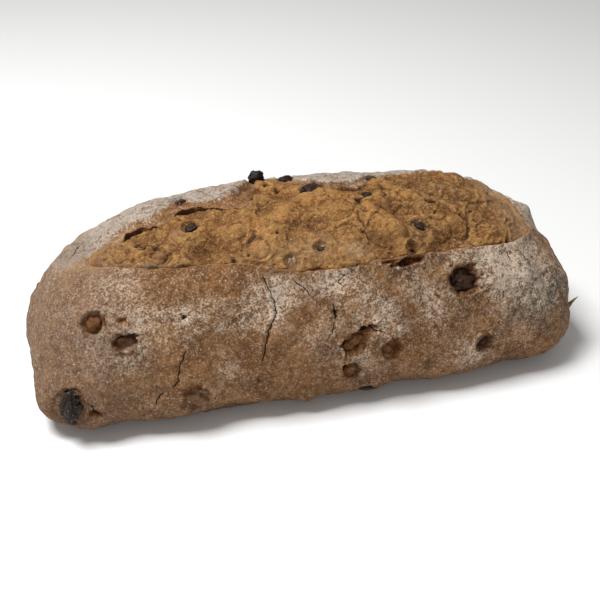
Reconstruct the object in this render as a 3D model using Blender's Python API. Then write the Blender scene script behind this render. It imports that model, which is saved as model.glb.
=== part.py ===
"""Raisin walnut bread: one short, blunt hearth loaf with a long burst along the top of its front side.

The crust and crumb are one solid. Each raisin and each walnut piece that shows sits in a socket of its own.
Metres, +Z up, +X along the loaf, the front side towards -Y, and the origin at the middle of the base.
A place on the loaf is a length x along it and an angle round its section: 0 is the front's widest line,
90 the top, 180 the back's widest line and 270 the middle of the base.
"""

import math

import bmesh
import bpy
import numpy as np
from mathutils import Matrix, Vector

# Driving dimensions of the plain loaf.
LENGTH = 0.240
WIDTH = 0.1016
HEIGHT = 0.0785
WIDEST_LEVEL = 0.0175
BASE_CUT = 0.0043
BOW = 0.0022
END_WIDENING = 0.05
PLAN_POWER = 4.1
PROFILE_POWER = 2.44
SIDE_POWER = 0.795
CROWN_POWER = 0.99
UNDERSIDE_POWER = 0.776

# The burst in the crust, as (x, angle round the section in degrees) from its left tip to its right one.
BURST_FRONT = (
    (-0.098, 88), (-0.084, 74), (-0.063, 61), (-0.040, 56), (-0.013, 47),
    (0.026, 47), (0.061, 51), (0.089, 59), (0.105, 78),
)
BURST_BACK = (
    (-0.098, 88), (-0.080, 94), (-0.063, 99), (-0.034, 95), (-0.012, 103),
    (0.016, 98), (0.045, 101), (0.075, 106), (0.092, 101), (0.105, 78),
)
CREVICE = ((-0.080, 85), (-0.060, 87), (-0.034, 89), (-0.010, 87), (0.027, 90), (0.070, 96))
LIP_RISE = 0.0010
LIP_WIDTH = 0.0035
CRUMB_DROP = 0.0014
CREVICE_DEPTH = 0.0030
CREVICE_WIDTH = 0.0030

# Broad lumps over the whole crust, and the crumb's own.
LUMP_WAVE = 0.045
LUMP_HEIGHT = 0.0006
KNOB_WAVE = 0.016
KNOB_HEIGHT = 0.0003
CRUMB_WAVE = 0.019
CRUMB_HEIGHT = 0.0008
FLOOR_FADE = 0.006

# Mounds and dents: (x, angle, radius, height), a dent's height being negative.
MOUNDS = (
    (-0.097, 101, 0.0060, 0.0024),
    (-0.0915, 104, 0.0050, -0.0028),
    (-0.065, 101, 0.0140, 0.0026),
    (0.107, 92, 0.0070, 0.0034),
    (0.031, 100, 0.0200, -0.0026),
    (-0.021, 104, 0.0120, 0.0008),
    (0.068, 98, 0.0140, -0.0010),
    (0.060, 62, 0.0080, -0.0022),
    (-0.047, 68, 0.0085, -0.0018),
    (-0.034, 70, 0.0055, 0.0014),
    (-0.100, -12, 0.0150, 0.0026),
    (-0.117, -6, 0.0100, 0.0008),
    (-0.110, 25, 0.0120, -0.0012),
    (-0.029, -14, 0.0055, 0.0022),
    (-0.012, -20, 0.0050, 0.0026),
    (-0.040, -24, 0.0180, -0.0026),
    (0.080, -4, 0.0070, -0.0012),
    (0.094, -22, 0.0160, 0.0026),
    (0.030, 150, 0.0200, 0.0012),
    (-0.060, 160, 0.0220, -0.0014),
    (0.085, 140, 0.0120, 0.0016),
)

# The torn corner at the front of the left end, which stands clear of the floor.
CORNER_START = -0.1085
CORNER_END = -0.1125
CORNER_HEIGHT = 0.0046
CORNER_FRONT = -0.010
CORNER_BACK = 0.012

# Grid of the loaf's surface: stations along it, and rows round it in front of, in and behind the burst.
STATIONS = 57
FRONT_ROWS = 22
BURST_ROWS = 18
BACK_ROWS = 22
END_SPACING = 0.5
LEAST_BURST_ANGLE = 22
TURN = 360
BASE_ANGLE = -90

# Raisins and walnut pieces: name, x, angle, (length, width, thickness), spin in degrees in the surface,
# how far the piece stands out of the crust, and the radius of the pocket round it, or 0.
RAISINS = (
    ("left_corner", -0.1060, 0, (0.0185, 0.0112, 0.0098), 80, 0.0034, 0),
    ("crown", -0.0153, 108, (0.0088, 0.0076, 0.0080), 20, 0.0054, 0),
    ("rim", -0.0030, 104, (0.0085, 0.0060, 0.0050), 5, 0.0018, 0),
    ("burst_back", 0.0040, 90.6, (0.0112, 0.0086, 0.0068), 8, 0.0030, 0),
    ("window", 0.0576, 35.4, (0.0148, 0.0122, 0.0085), -15, 0.0006, 0.0079),
    ("right_low", 0.0660, 5, (0.0082, 0.0064, 0.0052), 50, -0.0010, 0.0037),
    ("burst_right", 0.0440, 64, (0.0095, 0.0062, 0.0055), -25, 0.0014, 0),
    ("burst_left", -0.0500, 82, (0.0070, 0.0065, 0.0055), 30, 0.0018, 0),
    ("burst_middle", -0.0012, 57.2, (0.0058, 0.0048, 0.0044), -40, 0.0011, 0),
    ("grey_left", -0.0790, 79, (0.0090, 0.0068, 0.0055), -5, 0.0014, 0),
    ("far_back", 0.0270, 86, (0.0085, 0.0065, 0.0052), 60, 0.0012, 0),
    ("front_lip", 0.0365, 52, (0.0068, 0.0054, 0.0048), 70, 0.0012, 0),
    ("base", 0.0150, -27, (0.0095, 0.0062, 0.0060), -5, 0.0024, 0),
    ("rim_left", -0.0508, 96.5, (0.0075, 0.0062, 0.0055), 15, 0.0016, 0),
    ("rim_right", 0.0350, 99, (0.0095, 0.0068, 0.0058), 0, 0.0018, 0),
    ("back_a", -0.0680, 148, (0.0100, 0.0070, 0.0065), 35, 0.0018, 0),
    ("back_b", 0.0180, 131, (0.0085, 0.0065, 0.0060), -50, 0.0002, 0.0055),
    ("back_c", 0.0740, 172, (0.0105, 0.0075, 0.0065), 10, 0.0022, 0),
    ("right_end", 0.1080, 128, (0.0085, 0.0065, 0.0060), 75, 0.0014, 0),
)
WALNUTS = (
    ("left_window", -0.0940, 46.5, (0.0076, 0.0070, 0.0060), 20, 0.0004, 0.0046),
    ("left_pit", -0.0836, 31.4, (0.0100, 0.0064, 0.0055), 0, -0.0016, 0.0050),
    ("burst_left", -0.0660, 68.6, (0.0112, 0.0094, 0.0068), 80, 0.0016, 0),
    ("rim", -0.0225, 94.2, (0.0110, 0.0094, 0.0074), 40, 0.0031, 0),
    ("base_left", -0.0582, 0, (0.0124, 0.0080, 0.0070), -35, 0.0016, 0),
    ("front_a", 0.0085, 13.5, (0.0120, 0.0064, 0.0056), 42, -0.0008, 0.0062),
    ("front_b", 0.0238, 8.8, (0.0088, 0.0064, 0.0054), 80, -0.0010, 0.0051),
    ("front_c", 0.0068, 1.6, (0.0072, 0.0062, 0.0054), 60, 0.0010, 0),
    ("burst_nub", -0.0140, 52, (0.0060, 0.0052, 0.0050), 30, 0.0012, 0),
    ("far_right", 0.0650, 91, (0.0080, 0.0070, 0.0060), -20, 0.0012, 0),
    ("back_a", -0.0200, 160, (0.0120, 0.0085, 0.0070), 25, 0.0016, 0),
    ("back_b", 0.0530, 146, (0.0095, 0.0075, 0.0060), -35, 0.0000, 0.0056),
    ("left_end", -0.1130, 120, (0.0100, 0.0075, 0.0065), 50, 0.0014, 0),
)
SOCKET_GAP = 0.00035
POCKET_DEPTH_SHARE = 0.55
LARGE_PIECE = 0.0125

# A splinter of nut skin that stands out of the right end.
SPLINTER_PLACE = (0.1150, 12)
SPLINTER_LENGTH = 0.0100
SPLINTER_RADIUS = 0.0011
SPLINTER_LEAN = 0.55

CRUST_COLOUR = (0.235, 0.140, 0.078, 1.0)
RAISIN_COLOUR = (0.030, 0.020, 0.016, 1.0)
WALNUT_COLOUR = (0.300, 0.150, 0.060, 1.0)


def power(value, exponent):
    """The value's size raised to the exponent, with its sign kept."""
    return np.sign(value) * np.abs(value) ** exponent


def smooth(value, low, high):
    """0 up to low, 1 from high, with level ends between."""
    share = np.clip((value - low) / (high - low), 0, 1)
    return share * share * (3 - 2 * share)


def edge_angle(x, points):
    """The angle of an edge at each x: a cubic through the points, level before the first and after the last."""
    xs, angles = np.array(points, float).T
    slopes = np.gradient(angles, xs)
    x = np.clip(x, xs[0], xs[-1])
    left = np.clip(np.searchsorted(xs, x, side="right") - 1, 0, len(xs) - 2)
    span = xs[left + 1] - xs[left]
    t = (x - xs[left]) / span
    return (
        angles[left] * (1 + 2 * t) * (1 - t) ** 2
        + angles[left + 1] * t * t * (3 - 2 * t)
        + span * (slopes[left] * t * (1 - t) ** 2 - slopes[left + 1] * t * t * (1 - t))
    )


def plain_loaf(share, angle):
    """The loaf without relief. share is x over half the length; a section is a superellipse with a flat base."""
    radians = np.radians(angle)
    across = np.cos(radians)
    upward = np.sin(radians)
    plan = np.maximum(1 - np.abs(share) ** PLAN_POWER, 0) ** (1 / PLAN_POWER)
    profile = np.maximum(1 - np.abs(share) ** PROFILE_POWER, 0) ** (1 / PROFILE_POWER)
    half_width = WIDTH / 2 * (1 + END_WIDENING * share) * plan
    y = -half_width * power(across, SIDE_POWER) + BOW * (1 - share**2)
    above = WIDEST_LEVEL + (HEIGHT - WIDEST_LEVEL) * profile * np.abs(upward) ** CROWN_POWER
    below = WIDEST_LEVEL - (WIDEST_LEVEL + BASE_CUT) * plan * np.abs(upward) ** UNDERSIDE_POWER
    z = np.where(upward > 0, above, np.maximum(below, 0))
    return np.stack([LENGTH / 2 * share + 0 * angle, y, z], axis=-1)


def outward(share, angle):
    """Unit normals of the plain loaf, from small steps along it and round it."""
    step = 0.002
    share = np.clip(share, step - 1 + 1e-4, 1 - step - 1e-4)
    along = plain_loaf(share + step, angle) - plain_loaf(share - step, angle)
    turn = 0.5
    around = plain_loaf(share, angle + turn) - plain_loaf(share, angle - turn)
    normal = np.cross(along, around)
    return normal / np.maximum(np.linalg.norm(normal, axis=-1, keepdims=True), 1e-12)


def waves(points, wavelength, seed, count=14):
    """A soft random field of about unit size: the sum of plane waves in seeded directions."""
    draw = np.random.default_rng(seed)
    directions = draw.normal(size=(count, 3))
    directions /= np.linalg.norm(directions, axis=1, keepdims=True)
    phases = draw.uniform(0, 2 * math.pi, count)
    stretch = draw.uniform(0.7, 1.4, count)
    turns = points @ (directions * stretch[:, None]).T * (2 * math.pi / wavelength) + phases
    return np.cos(turns).sum(axis=-1) / math.sqrt(count / 2)


def place(x, angle):
    """The point of the plain loaf at x and an angle, and its outward direction."""
    share = np.array(x / (LENGTH / 2))
    angle = np.array(float(angle))
    return plain_loaf(share, angle), outward(share, angle)


def relief(points, x, angle):
    """How far each point stands out of the plain loaf: lumps, mounds, and the burst's lips, crumb and crevice."""
    front = edge_angle(x, BURST_FRONT)
    back = edge_angle(x, BURST_BACK)
    reach = np.hypot(points[..., 1], points[..., 2]) * math.radians(1)
    past_front = (angle - front) * reach
    before_back = (back - angle) * reach
    inside = smooth(np.minimum(past_front, before_back), -0.0008, 0.0026)
    lips = np.exp(-((past_front / LIP_WIDTH) ** 2)) + 1.4 * np.exp(-((before_back / LIP_WIDTH) ** 2))
    opened = smooth(back - front, 4, 16)
    to_crevice = (angle - edge_angle(x, CREVICE)) * reach
    crevice_run = smooth(x, -0.088, -0.072) * (1 - smooth(x, 0.050, 0.072))
    rise = LUMP_HEIGHT * waves(points, LUMP_WAVE, 3) + KNOB_HEIGHT * waves(points, KNOB_WAVE, 5)
    rise += LIP_RISE * lips * opened * (1 - inside)
    rise += inside * (CRUMB_HEIGHT * waves(points, CRUMB_WAVE, 8) - CRUMB_DROP)
    rise -= inside * crevice_run * CREVICE_DEPTH * np.exp(-((to_crevice / CREVICE_WIDTH) ** 2))
    for mound_x, mound_angle, radius, height in MOUNDS:
        centre, _ = place(mound_x, mound_angle)
        distance = np.linalg.norm(points - centre, axis=-1)
        rise += height * np.exp(-((distance / radius) ** 2))
    return rise


def loaf_surface(share, angle):
    """Points of the loaf with its relief, which fades out towards the flat base."""
    points = plain_loaf(share, angle)
    x = share * LENGTH / 2
    off_floor = smooth(points[..., 2], 0.0004, FLOOR_FADE)
    rise = relief(points, x, angle) * off_floor
    points = points + outward(share, angle) * rise[..., None]
    points[..., 2] = np.where(off_floor > 0, np.maximum(points[..., 2], 0), 0)
    points[..., 2] = np.maximum(points[..., 2], corner_lift(points))
    return points


def corner_lift(points):
    """The least height over the floor of each point: more than none only at the left end's torn corner."""
    beyond = smooth(-points[..., 0], -CORNER_START, -CORNER_END)
    return CORNER_HEIGHT * beyond * (1 - smooth(points[..., 1], CORNER_FRONT, CORNER_BACK))


def even_share(t):
    """x over half the length for t from 0 to 1, spaced along the outline seen from above, closer at the ends."""
    turn = np.linspace(0, math.pi, 4001)
    share = -power(np.cos(turn), 2 / PLAN_POWER)
    side = END_SPACING * WIDTH / LENGTH * np.sin(turn) ** (2 / PLAN_POWER)
    run = np.concatenate([[0], np.cumsum(np.hypot(np.diff(share), np.diff(side)))])
    return np.interp(t, run / run[-1], share)


def row_angle(row, x):
    """The angle of each row at x: the rows gather along both edges of the burst."""
    front = edge_angle(x, BURST_FRONT)
    back = edge_angle(x, BURST_BACK)
    middle = (front + back) / 2
    half = np.maximum((back - front) / 2, LEAST_BURST_ANGLE / 2)
    front, back = middle - half, middle + half
    before = row / FRONT_ROWS
    within = (row - FRONT_ROWS) / BURST_ROWS
    after = (row - FRONT_ROWS - BURST_ROWS) / BACK_ROWS
    gathered = within - 0.10 * np.sin(2 * math.pi * within)
    angle = np.where(
        row < FRONT_ROWS,
        BASE_ANGLE + (front - BASE_ANGLE) * (before + 0.05 * np.sin(math.pi * before)),
        front + (back - front) * gathered,
    )
    rest = BASE_ANGLE + TURN - back
    return np.where(
        row > FRONT_ROWS + BURST_ROWS, back + rest * (after - 0.05 * np.sin(math.pi * after)), angle
    )


def material(name, colour, roughness):
    """A plain Principled material."""
    made = bpy.data.materials.new(name)
    made.use_nodes = True
    shader = made.node_tree.nodes["Principled BSDF"]
    shader.inputs["Base Color"].default_value = colour
    shader.inputs["Roughness"].default_value = roughness
    made.diffuse_color = colour
    return made


def add_object(name, mesh, collection, finish=None):
    """A mesh object in a collection, shaded smooth."""
    mesh.shade_smooth()
    made = bpy.data.objects.new(name, mesh)
    collection.objects.link(made)
    if finish:
        mesh.materials.append(finish)
    return made


def add_helper(name, mesh, collection):
    """A shape that only cuts or joins, and isn't part of the bread itself."""
    made = add_object(name, mesh, collection)
    made.hide_render = True
    made.display_type = "WIRE"
    return made


def vertex_array(mesh):
    """The mesh's vertices as rows of x, y and z."""
    points = np.empty(len(mesh.vertices) * 3)
    mesh.vertices.foreach_get("co", points)
    return points.reshape(-1, 3)


def set_vertices(mesh, points):
    """Moves the mesh's vertices to these rows of x, y and z."""
    mesh.vertices.foreach_set("co", points.ravel())
    mesh.update()


def make_loaf(collection, finish):
    """The loaf: a sphere whose poles lie at the two ends, drawn out to the loaf's surface."""
    rows = FRONT_ROWS + BURST_ROWS + BACK_ROWS
    mesh = bpy.data.meshes.new("loaf")
    ball = bmesh.new()
    bmesh.ops.create_uvsphere(ball, u_segments=rows, v_segments=STATIONS, radius=1)
    ball.to_mesh(mesh)
    ball.free()
    unit = vertex_array(mesh)
    polar = np.arccos(np.clip(unit[:, 2], -1, 1)) / math.pi
    share = even_share(polar)
    turn = np.degrees(np.arctan2(-unit[:, 1], unit[:, 0])) % TURN
    row = np.round(turn / TURN * rows) % rows
    set_vertices(mesh, loaf_surface(share, row_angle(row, share * LENGTH / 2)))
    face_outwards(mesh)
    return add_object("loaf", mesh, collection, finish)


def face_outwards(mesh):
    """Turns every face of a closed mesh outwards."""
    shape = bmesh.new()
    shape.from_mesh(mesh)
    bmesh.ops.recalc_face_normals(shape, faces=shape.faces)
    shape.to_mesh(mesh)
    shape.free()


def surface_frame(x, angle, spin):
    """A turn whose Z points out of the crust, with X along the loaf and then spun in the surface."""
    _, normal = place(x, angle)
    normal = Vector(normal)
    along = Vector((1, 0, 0))
    along = (along - normal * along.dot(normal)).normalized()
    turn = Matrix((along, normal.cross(along), normal)).transposed()
    return turn @ Matrix.Rotation(math.radians(spin), 3, "Z")


def raisin_form(unit, seed):
    """Radii of a raisin over unit directions: long wrinkles pressed into an ellipsoid."""
    around = np.arctan2(unit[:, 2], unit[:, 1])
    drift = waves(unit, 2.4, seed)
    return 1 - 0.10 * np.abs(np.sin(2.5 * around + 0.9 * drift)) + 0.04 * waves(unit, 1.6, seed + 50)


def walnut_form(unit, seed):
    """Radii of a broken walnut piece over unit directions: blunt lobes either side of a crease."""
    lobes = waves(unit, 1.9, seed)
    crease = np.exp(-((unit[:, 0] + 0.25 * unit[:, 1]) / 0.22) ** 2)
    return 1 + 0.09 * lobes - 0.12 * crease


def piece_mesh(name, form, seed, size, turn, centre, grown):
    """A raisin or walnut piece as a mesh in place, grown all over by a margin for the socket."""
    mesh = bpy.data.meshes.new(name)
    ball = bmesh.new()
    finer = 3 if size[0] >= LARGE_PIECE else 2
    bmesh.ops.create_icosphere(ball, subdivisions=finer, radius=1)
    ball.to_mesh(mesh)
    ball.free()
    unit = vertex_array(mesh)
    half = np.array(size) / 2
    local = unit * form(unit, seed)[:, None] * half
    if grown:
        facing = unit / half
        local += grown * facing / np.linalg.norm(facing, axis=1, keepdims=True)
    set_vertices(mesh, local @ np.array(turn).T + np.array(centre))
    return mesh


def pocket_mesh(name, turn, centre, radius):
    """A shallow bowl-shaped cutter for the pocket round a piece."""
    mesh = bpy.data.meshes.new(name)
    ball = bmesh.new()
    bmesh.ops.create_icosphere(ball, subdivisions=2, radius=1)
    ball.to_mesh(mesh)
    ball.free()
    unit = vertex_array(mesh)
    half = np.array([radius, radius * 0.85, radius * POCKET_DEPTH_SHARE])
    set_vertices(mesh, unit * half @ np.array(turn).T + np.array(centre))
    return mesh


def make_pieces(kind, rows, form, collection, cutters, finish):
    """The raisins or walnut pieces, each with the cutter for its socket and, where it has one, its pocket."""
    for number, (name, x, angle, size, spin, stands_out, pocket) in enumerate(rows):
        turn = surface_frame(x, angle, spin)
        share = np.array(x / (LENGTH / 2))
        skin = Vector(loaf_surface(share[None], np.array([float(angle)]))[0])
        normal = turn.col[2]
        centre = skin + normal * (stands_out - size[2] / 2)
        label = f"{kind}_{name}"
        seed = 20 + number
        mesh = piece_mesh(label, form, seed, size, turn, centre, 0)
        add_object(label, mesh, collection, finish)
        socket = piece_mesh(label + "_socket", form, seed, size, turn, centre, SOCKET_GAP)
        add_helper(label + "_socket", socket, cutters)
        if pocket:
            bowl = pocket_mesh(label + "_pocket", turn, skin, pocket)
            add_helper(label + "_pocket", bowl, cutters)


def make_splinter(loaf, collection):
    """The splinter: a thin cone rooted in the right end, leaning up and outwards, joined to the loaf."""
    x, angle = SPLINTER_PLACE
    root, normal = place(x, angle)
    lean = (Vector(normal) + Vector((SPLINTER_LEAN, 0, SPLINTER_LEAN))).normalized()
    mesh = bpy.data.meshes.new("splinter")
    cone = bmesh.new()
    bmesh.ops.create_cone(
        cone,
        cap_ends=True,
        segments=6,
        radius1=SPLINTER_RADIUS,
        radius2=SPLINTER_RADIUS * 0.25,
        depth=SPLINTER_LENGTH,
        matrix=Matrix.Translation(Vector(root) + lean * SPLINTER_LENGTH * 0.1)
        @ lean.to_track_quat("Z", "Y").to_matrix().to_4x4(),
    )
    cone.to_mesh(mesh)
    cone.free()
    union = loaf.modifiers.new("splinter", "BOOLEAN")
    union.operation = "UNION"
    union.object = add_helper("splinter", mesh, collection)


def cut_sockets(loaf, cutters):
    """Cuts every socket and pocket out of the loaf."""
    cut = loaf.modifiers.new("sockets", "BOOLEAN")
    cut.operation = "DIFFERENCE"
    cut.operand_type = "COLLECTION"
    cut.collection = cutters


def new_collection(name):
    """A collection of this name, linked to the scene."""
    made = bpy.data.collections.new(name)
    bpy.context.scene.collection.children.link(made)
    return made


def main():
    for old in list(bpy.data.objects):
        bpy.data.objects.remove(old)
    bread = new_collection("raisin_walnut_bread")
    cutters = new_collection("sockets")
    joined = new_collection("joined")
    loaf = make_loaf(bread, material("crust", CRUST_COLOUR, 0.85))
    make_pieces("raisin", RAISINS, raisin_form, bread, cutters, material("raisin", RAISIN_COLOUR, 0.5))
    make_pieces("walnut", WALNUTS, walnut_form, bread, cutters, material("walnut", WALNUT_COLOUR, 0.6))
    make_splinter(loaf, joined)
    cut_sockets(loaf, cutters)


main()
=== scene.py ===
"""Raisin walnut bread: the looks of one floured hearth loaf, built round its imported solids.

Metres, +Z up, +X along the loaf, the front side towards -Y. A place on the loaf is a length x along it
and an angle in degrees round its section: 0 is the front's widest line, 90 the top, 180 the back's
widest line and 270 the middle of the base. The tables below give their lengths in millimetres.
"""

import math

import bpy
import numpy as np
from mathutils import Matrix, Vector


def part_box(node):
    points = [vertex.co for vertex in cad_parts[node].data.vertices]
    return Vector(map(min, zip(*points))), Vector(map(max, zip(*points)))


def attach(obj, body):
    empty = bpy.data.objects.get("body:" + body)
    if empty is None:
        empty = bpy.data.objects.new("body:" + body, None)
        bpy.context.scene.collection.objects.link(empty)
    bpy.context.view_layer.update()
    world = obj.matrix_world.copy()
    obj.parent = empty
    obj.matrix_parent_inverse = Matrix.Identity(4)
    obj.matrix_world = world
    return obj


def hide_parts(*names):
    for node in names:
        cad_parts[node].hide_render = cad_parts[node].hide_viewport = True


bl_info = {
    "name": "Raisin walnut bread",
    "version": (1, 0, 0),
    "blender": (4, 5, 0),
    "location": "View3D > Sidebar > Bread",
    "description": "Dresses the solids of a raisin walnut loaf as baked bread",
    "category": "Add Mesh",
}

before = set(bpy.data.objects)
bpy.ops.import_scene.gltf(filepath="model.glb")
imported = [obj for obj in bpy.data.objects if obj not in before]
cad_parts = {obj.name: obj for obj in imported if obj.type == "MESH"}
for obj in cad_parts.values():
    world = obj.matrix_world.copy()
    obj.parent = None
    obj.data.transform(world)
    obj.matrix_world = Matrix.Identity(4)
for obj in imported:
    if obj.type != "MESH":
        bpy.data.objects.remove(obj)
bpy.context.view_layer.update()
MM = 0.001

# The burst in the crust, from its left tip to its right one: (x, angle).
BURST_FRONT = (
    (-98, 88), (-84, 74), (-63, 61), (-40, 56), (-13, 47), (26, 47), (61, 51), (89, 59), (105, 78),
)
BURST_BACK = (
    (-98, 88.5), (-95, 86.5), (-91, 87), (-86, 88), (-82.5, 88.8), (-80.5, 87), (-79, 85.5), (-77.2, 86),
    (-75, 89.2), (-71.5, 89.6), (-67, 88.6), (-61, 86.8), (-57.5, 87), (-54.5, 89.8), (-50, 90.6),
    (-45.5, 90.4), (-38, 88.6), (-31, 86), (-26, 85), (-22, 89), (-18, 99), (-12, 103), (-4, 101), (1, 97),
    (4.5, 91.5), (10, 88.8), (18, 89.2), (27, 91), (34, 95), (42, 101), (50, 104), (75, 106), (92, 101),
    (105, 78),
)
# Where the flour behind the burst begins; between it and the burst lies a torn brown ledge of crust.
RIM_EDGE = (
    (-104, 88), (-98, 87.2), (-91, 87.8), (-86, 88.8), (-82, 90.2), (-78, 91.4), (-75, 91.4), (-71.5, 92),
    (-66.5, 90.6), (-61.5, 91), (-56, 92.6), (-50.5, 95), (-45, 93.2), (-39.5, 91.6), (-33, 92.2),
    (-26, 96.5), (-21, 103), (-13, 105), (0, 102), (4.5, 96), (10, 93), (20, 93.5), (30, 97), (45, 104),
    (75, 107), (92, 102), (105, 80),
)

# Mounds and dents that the solid has too: (x, angle, radius, height).
MOUNDS = (
    (-97, 101, 6, 2.4), (-91.5, 104, 5, -2.8), (-65, 101, 14, 2.6), (107, 92, 7, 3.4), (31, 100, 20, -2.6),
    (-21, 104, 12, 0.8), (68, 98, 14, -1), (60, 62, 8, -2.2), (-47, 68, 8.5, -1.8), (-34, 70, 5.5, 1.4),
    (-100, -12, 15, 2.6), (-117, -6, 10, 0.8), (-110, 25, 12, -1.2), (-29, -14, 5.5, 2.2),
    (-12, -20, 5, 2.6), (-40, -24, 18, -2.6), (80, -4, 7, -1.2), (94, -22, 16, 2.6), (30, 150, 20, 1.2),
    (-60, 160, 22, -1.4), (85, 140, 12, 1.6),
)

# Smaller forms on the crust: (x, angle, radius, height).
CRUST_KNOBS = (
    (64, 9.5, 3, 1), (61.2, 6, 2.6, 0.8), (-106, 24, 4, 0.9), (-117, 4, 9, 1.5), (-110.5, 1, 3, 0.6),
    (60, 12.5, 2.8, 0.7), (-99, 20, 3.5, -0.7), (-93.5, 51.5, 2.2, 1), (-89.5, 38.5, 2.4, 0.8),
    (-96, 38, 2, 0.6), (-70, 22, 6, 0.6), (12, 30, 6, 0.9), (-20, 30, 7, -0.7), (-10, 20, 7, 0.8),
    (30, 34, 7, 0.7), (-50, 22, 8, -0.7), (70, 25, 8, 0.9), (47, 22, 7, 0.6), (92, 12, 8, 0.7),
    (100, 24, 7, -0.6), (-83, 40, 2.2, 0.6), (-108, 14, 5, 0.8), (-60, 5, 6, 1), (-60, 37, 0.8, -2.2),
    (20, 16, 4.8, 1.4), (15, 7, 3, 1), (-5, 103, 4, 1), (-22.5, 94.2, 6, -1.2), (-33, 99, 4, 1),
    (-40, 98, 3, -0.8), (-16, 103, 3.5, -0.8), (35, 97, 5, 1.2), (-50, 98, 4.5, 1), (106, 92, 3, 1),
    (-20, -30, 7, 1), (15, -30, 6, 1.2),
)

# Cracks in the crust: a depth share, and the places from one end to the other.
CRUST_CRACKS = (
    (1, ((-27.4, 49.5), (-26.5, 46), (-25, 40), (-23.8, 35), (-24, 30), (-28, 23), (-30, 15), (-31.8, 9))),
    (0.7, ((-33, 4.5), (-32.2, 2))),
    (0.45, ((-15, 44), (-11, 39), (-8, 35))),
    (1, ((0, 31), (0.8, 27), (0.2, 24))),
    (2, ((0.4, 29), (1, 26.5), (0.6, 24.5))),
    (0.45, ((0.2, 24), (-1.6, 19), (-5, 15))),
    (0.6, ((-60, 23), (-64, 16), (-65, 10), (-68, 6.5))),
    (0.6, ((-71, 5), (-74, 1), (-74.2, -2))),
    (0.45, ((85, 51), (88, 46), (91.5, 41))),
    (0.35, ((79, 50), (80.5, 45))),
    (0.9, ((-91, 101), (-94.5, 96), (-98.5, 91))),
    (0.45, ((-100.5, 4), (-98.5, 1.5), (-97, -0.5), (-94, -2.5))),
    (0.7, ((-108.5, 10.5), (-106, 13), (-103, 12.5), (-101.5, 10))),
    (0.25, ((61.2, 9), (63.2, 11), (66, 11.3), (68, 9.5), (68.8, 7.2))),
    (0.5, ((12, 20.5), (16.5, 18.5), (20.5, 17.5))),
    (0.5, ((6, 43), (3.5, 40), (4.5, 37.5))),
)

# Creases and slits in the crumb in the same form; a negative share makes a thin ridge.
CRUMB_CREASES = (
    (1, ((28.5, 77), (30.5, 74.5), (32.7, 71.6), (35.1, 67.8), (38.3, 64.8), (41.5, 63))),
    (1, ((49.5, 78.6), (52, 78), (55.5, 79))),
    (0.7, ((29, 90), (32, 86), (34.7, 80.6))),
    (0.6, ((34.5, 92), (38.5, 87), (41.5, 82))),
    (0.8, ((19.5, 80), (23.5, 82.5), (27.5, 84.8))),
    (0.6, ((17.5, 62.5), (18.7, 59.8), (19.7, 57.2))),
    (0.6, ((-70, 79), (-66.5, 76), (-64, 73))),
    (0.9, ((-72.5, 83), (-70, 79.5), (-70.5, 75))),
    (0.5, ((-30, 63), (-27, 66), (-26.5, 70))),
    (0.5, ((20, 62), (17, 68), (18, 74))),
    (0.9, ((63, 72), (66.2, 68), (66.5, 63), (64.5, 58), (61, 54.5))),
    (0.6, ((74.5, 72), (76, 68), (75.5, 63))),
    (0.7, ((62, 92.5), (61.2, 89.5), (62.5, 86.5))),
    (0.6, ((76, 88), (86, 92), (96, 94))),
    (0.5, ((43, 92), (48, 88), (53, 87.5))),
    (0.5, ((67, 82), (74, 80), (80, 81.5))),
    (0.4, ((86, 80), (92, 78), (97, 79))),
    (-0.9, ((69.5, 55), (72.7, 58), (76.5, 60.5), (80, 59.5), (82.6, 58.2))),
    (-0.7, ((72.7, 58), (74.5, 62), (78.5, 64.5))),
    (-0.7, ((82.6, 58.2), (84.5, 61.5), (85, 65))),
    (-0.6, ((66, 78), (70, 76), (75, 77))),
    (-0.7, ((30, 88), (33.5, 83.5), (36, 79))),
    (-0.6, ((41, 90), (45, 85), (50, 83))),
    (-0.5, ((-33, 75), (-28, 79), (-22, 81), (-16, 80))),
    (-0.5, ((-24, 60), (-20, 57), (-15, 58))),
    (-0.5, ((-69, 81), (-66, 78), (-63, 77))),
)

# Small holes in the crumb, darkened with painted shade: (x, angle, radius, depth).
CRUMB_HOLES = (
    (-13.3, 97.6, 1.5, 2.8), (-9.8, 94.4, 1.2, 2.4), (-37, 57.2, 1.2, 0.9), (-40.2, 56.6, 0.7, 0.7),
    (-31.2, 58, 0.7, 0.7), (55.8, 83.8, 1.3, 2.8), (27, 85.2, 1.9, 2.6), (20.8, 81, 1.3, 1.8),
    (81.1, 55, 1.5, 1.8), (90.6, 94.6, 1.3, 1.8), (37.2, 50.5, 1.1, 1.4), (-72.2, 79.5, 1.6, 2),
    (62.2, 89.6, 1.4, 1.6), (-18, 66, 0.6, 1), (87, 72, 0.8, 1.2), (69, 73, 0.8, 1.2),
)

# Rounded swells and hollows of the crumb: (x, angle, radius, height).
CRUMB_SWELLS = (
    (-34, 71, 5, 1.3), (-47, 66, 6, -1.6), (-68, 84, 5, -2.2), (-64, 80, 4, -1.2), (-73.5, 75, 3.6, 1),
    (-88, 82, 8, 0.4), (-11, 78, 11, 1.4), (-10, 62, 9, 0.9), (0.5, 70, 4.6, -1.2), (4.6, 59, 7, 1.2),
    (13, 73, 10, 1.2), (12, 53, 4, 0.8), (1, 86, 6, 0.4), (30, 83, 3.4, 1.2), (37.5, 84, 4.2, 1.2),
    (36, 76, 4.5, -0.8), (32, 62, 6.5, 1), (59, 62, 7, -1.4), (48, 72, 5, 1), (48, 88, 6, 1),
    (68, 84, 5, -1.2), (74, 74, 5, 1.2), (80, 86, 7, 1), (88, 67, 8, 0.6), (70, 97, 6, 1),
)
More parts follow.
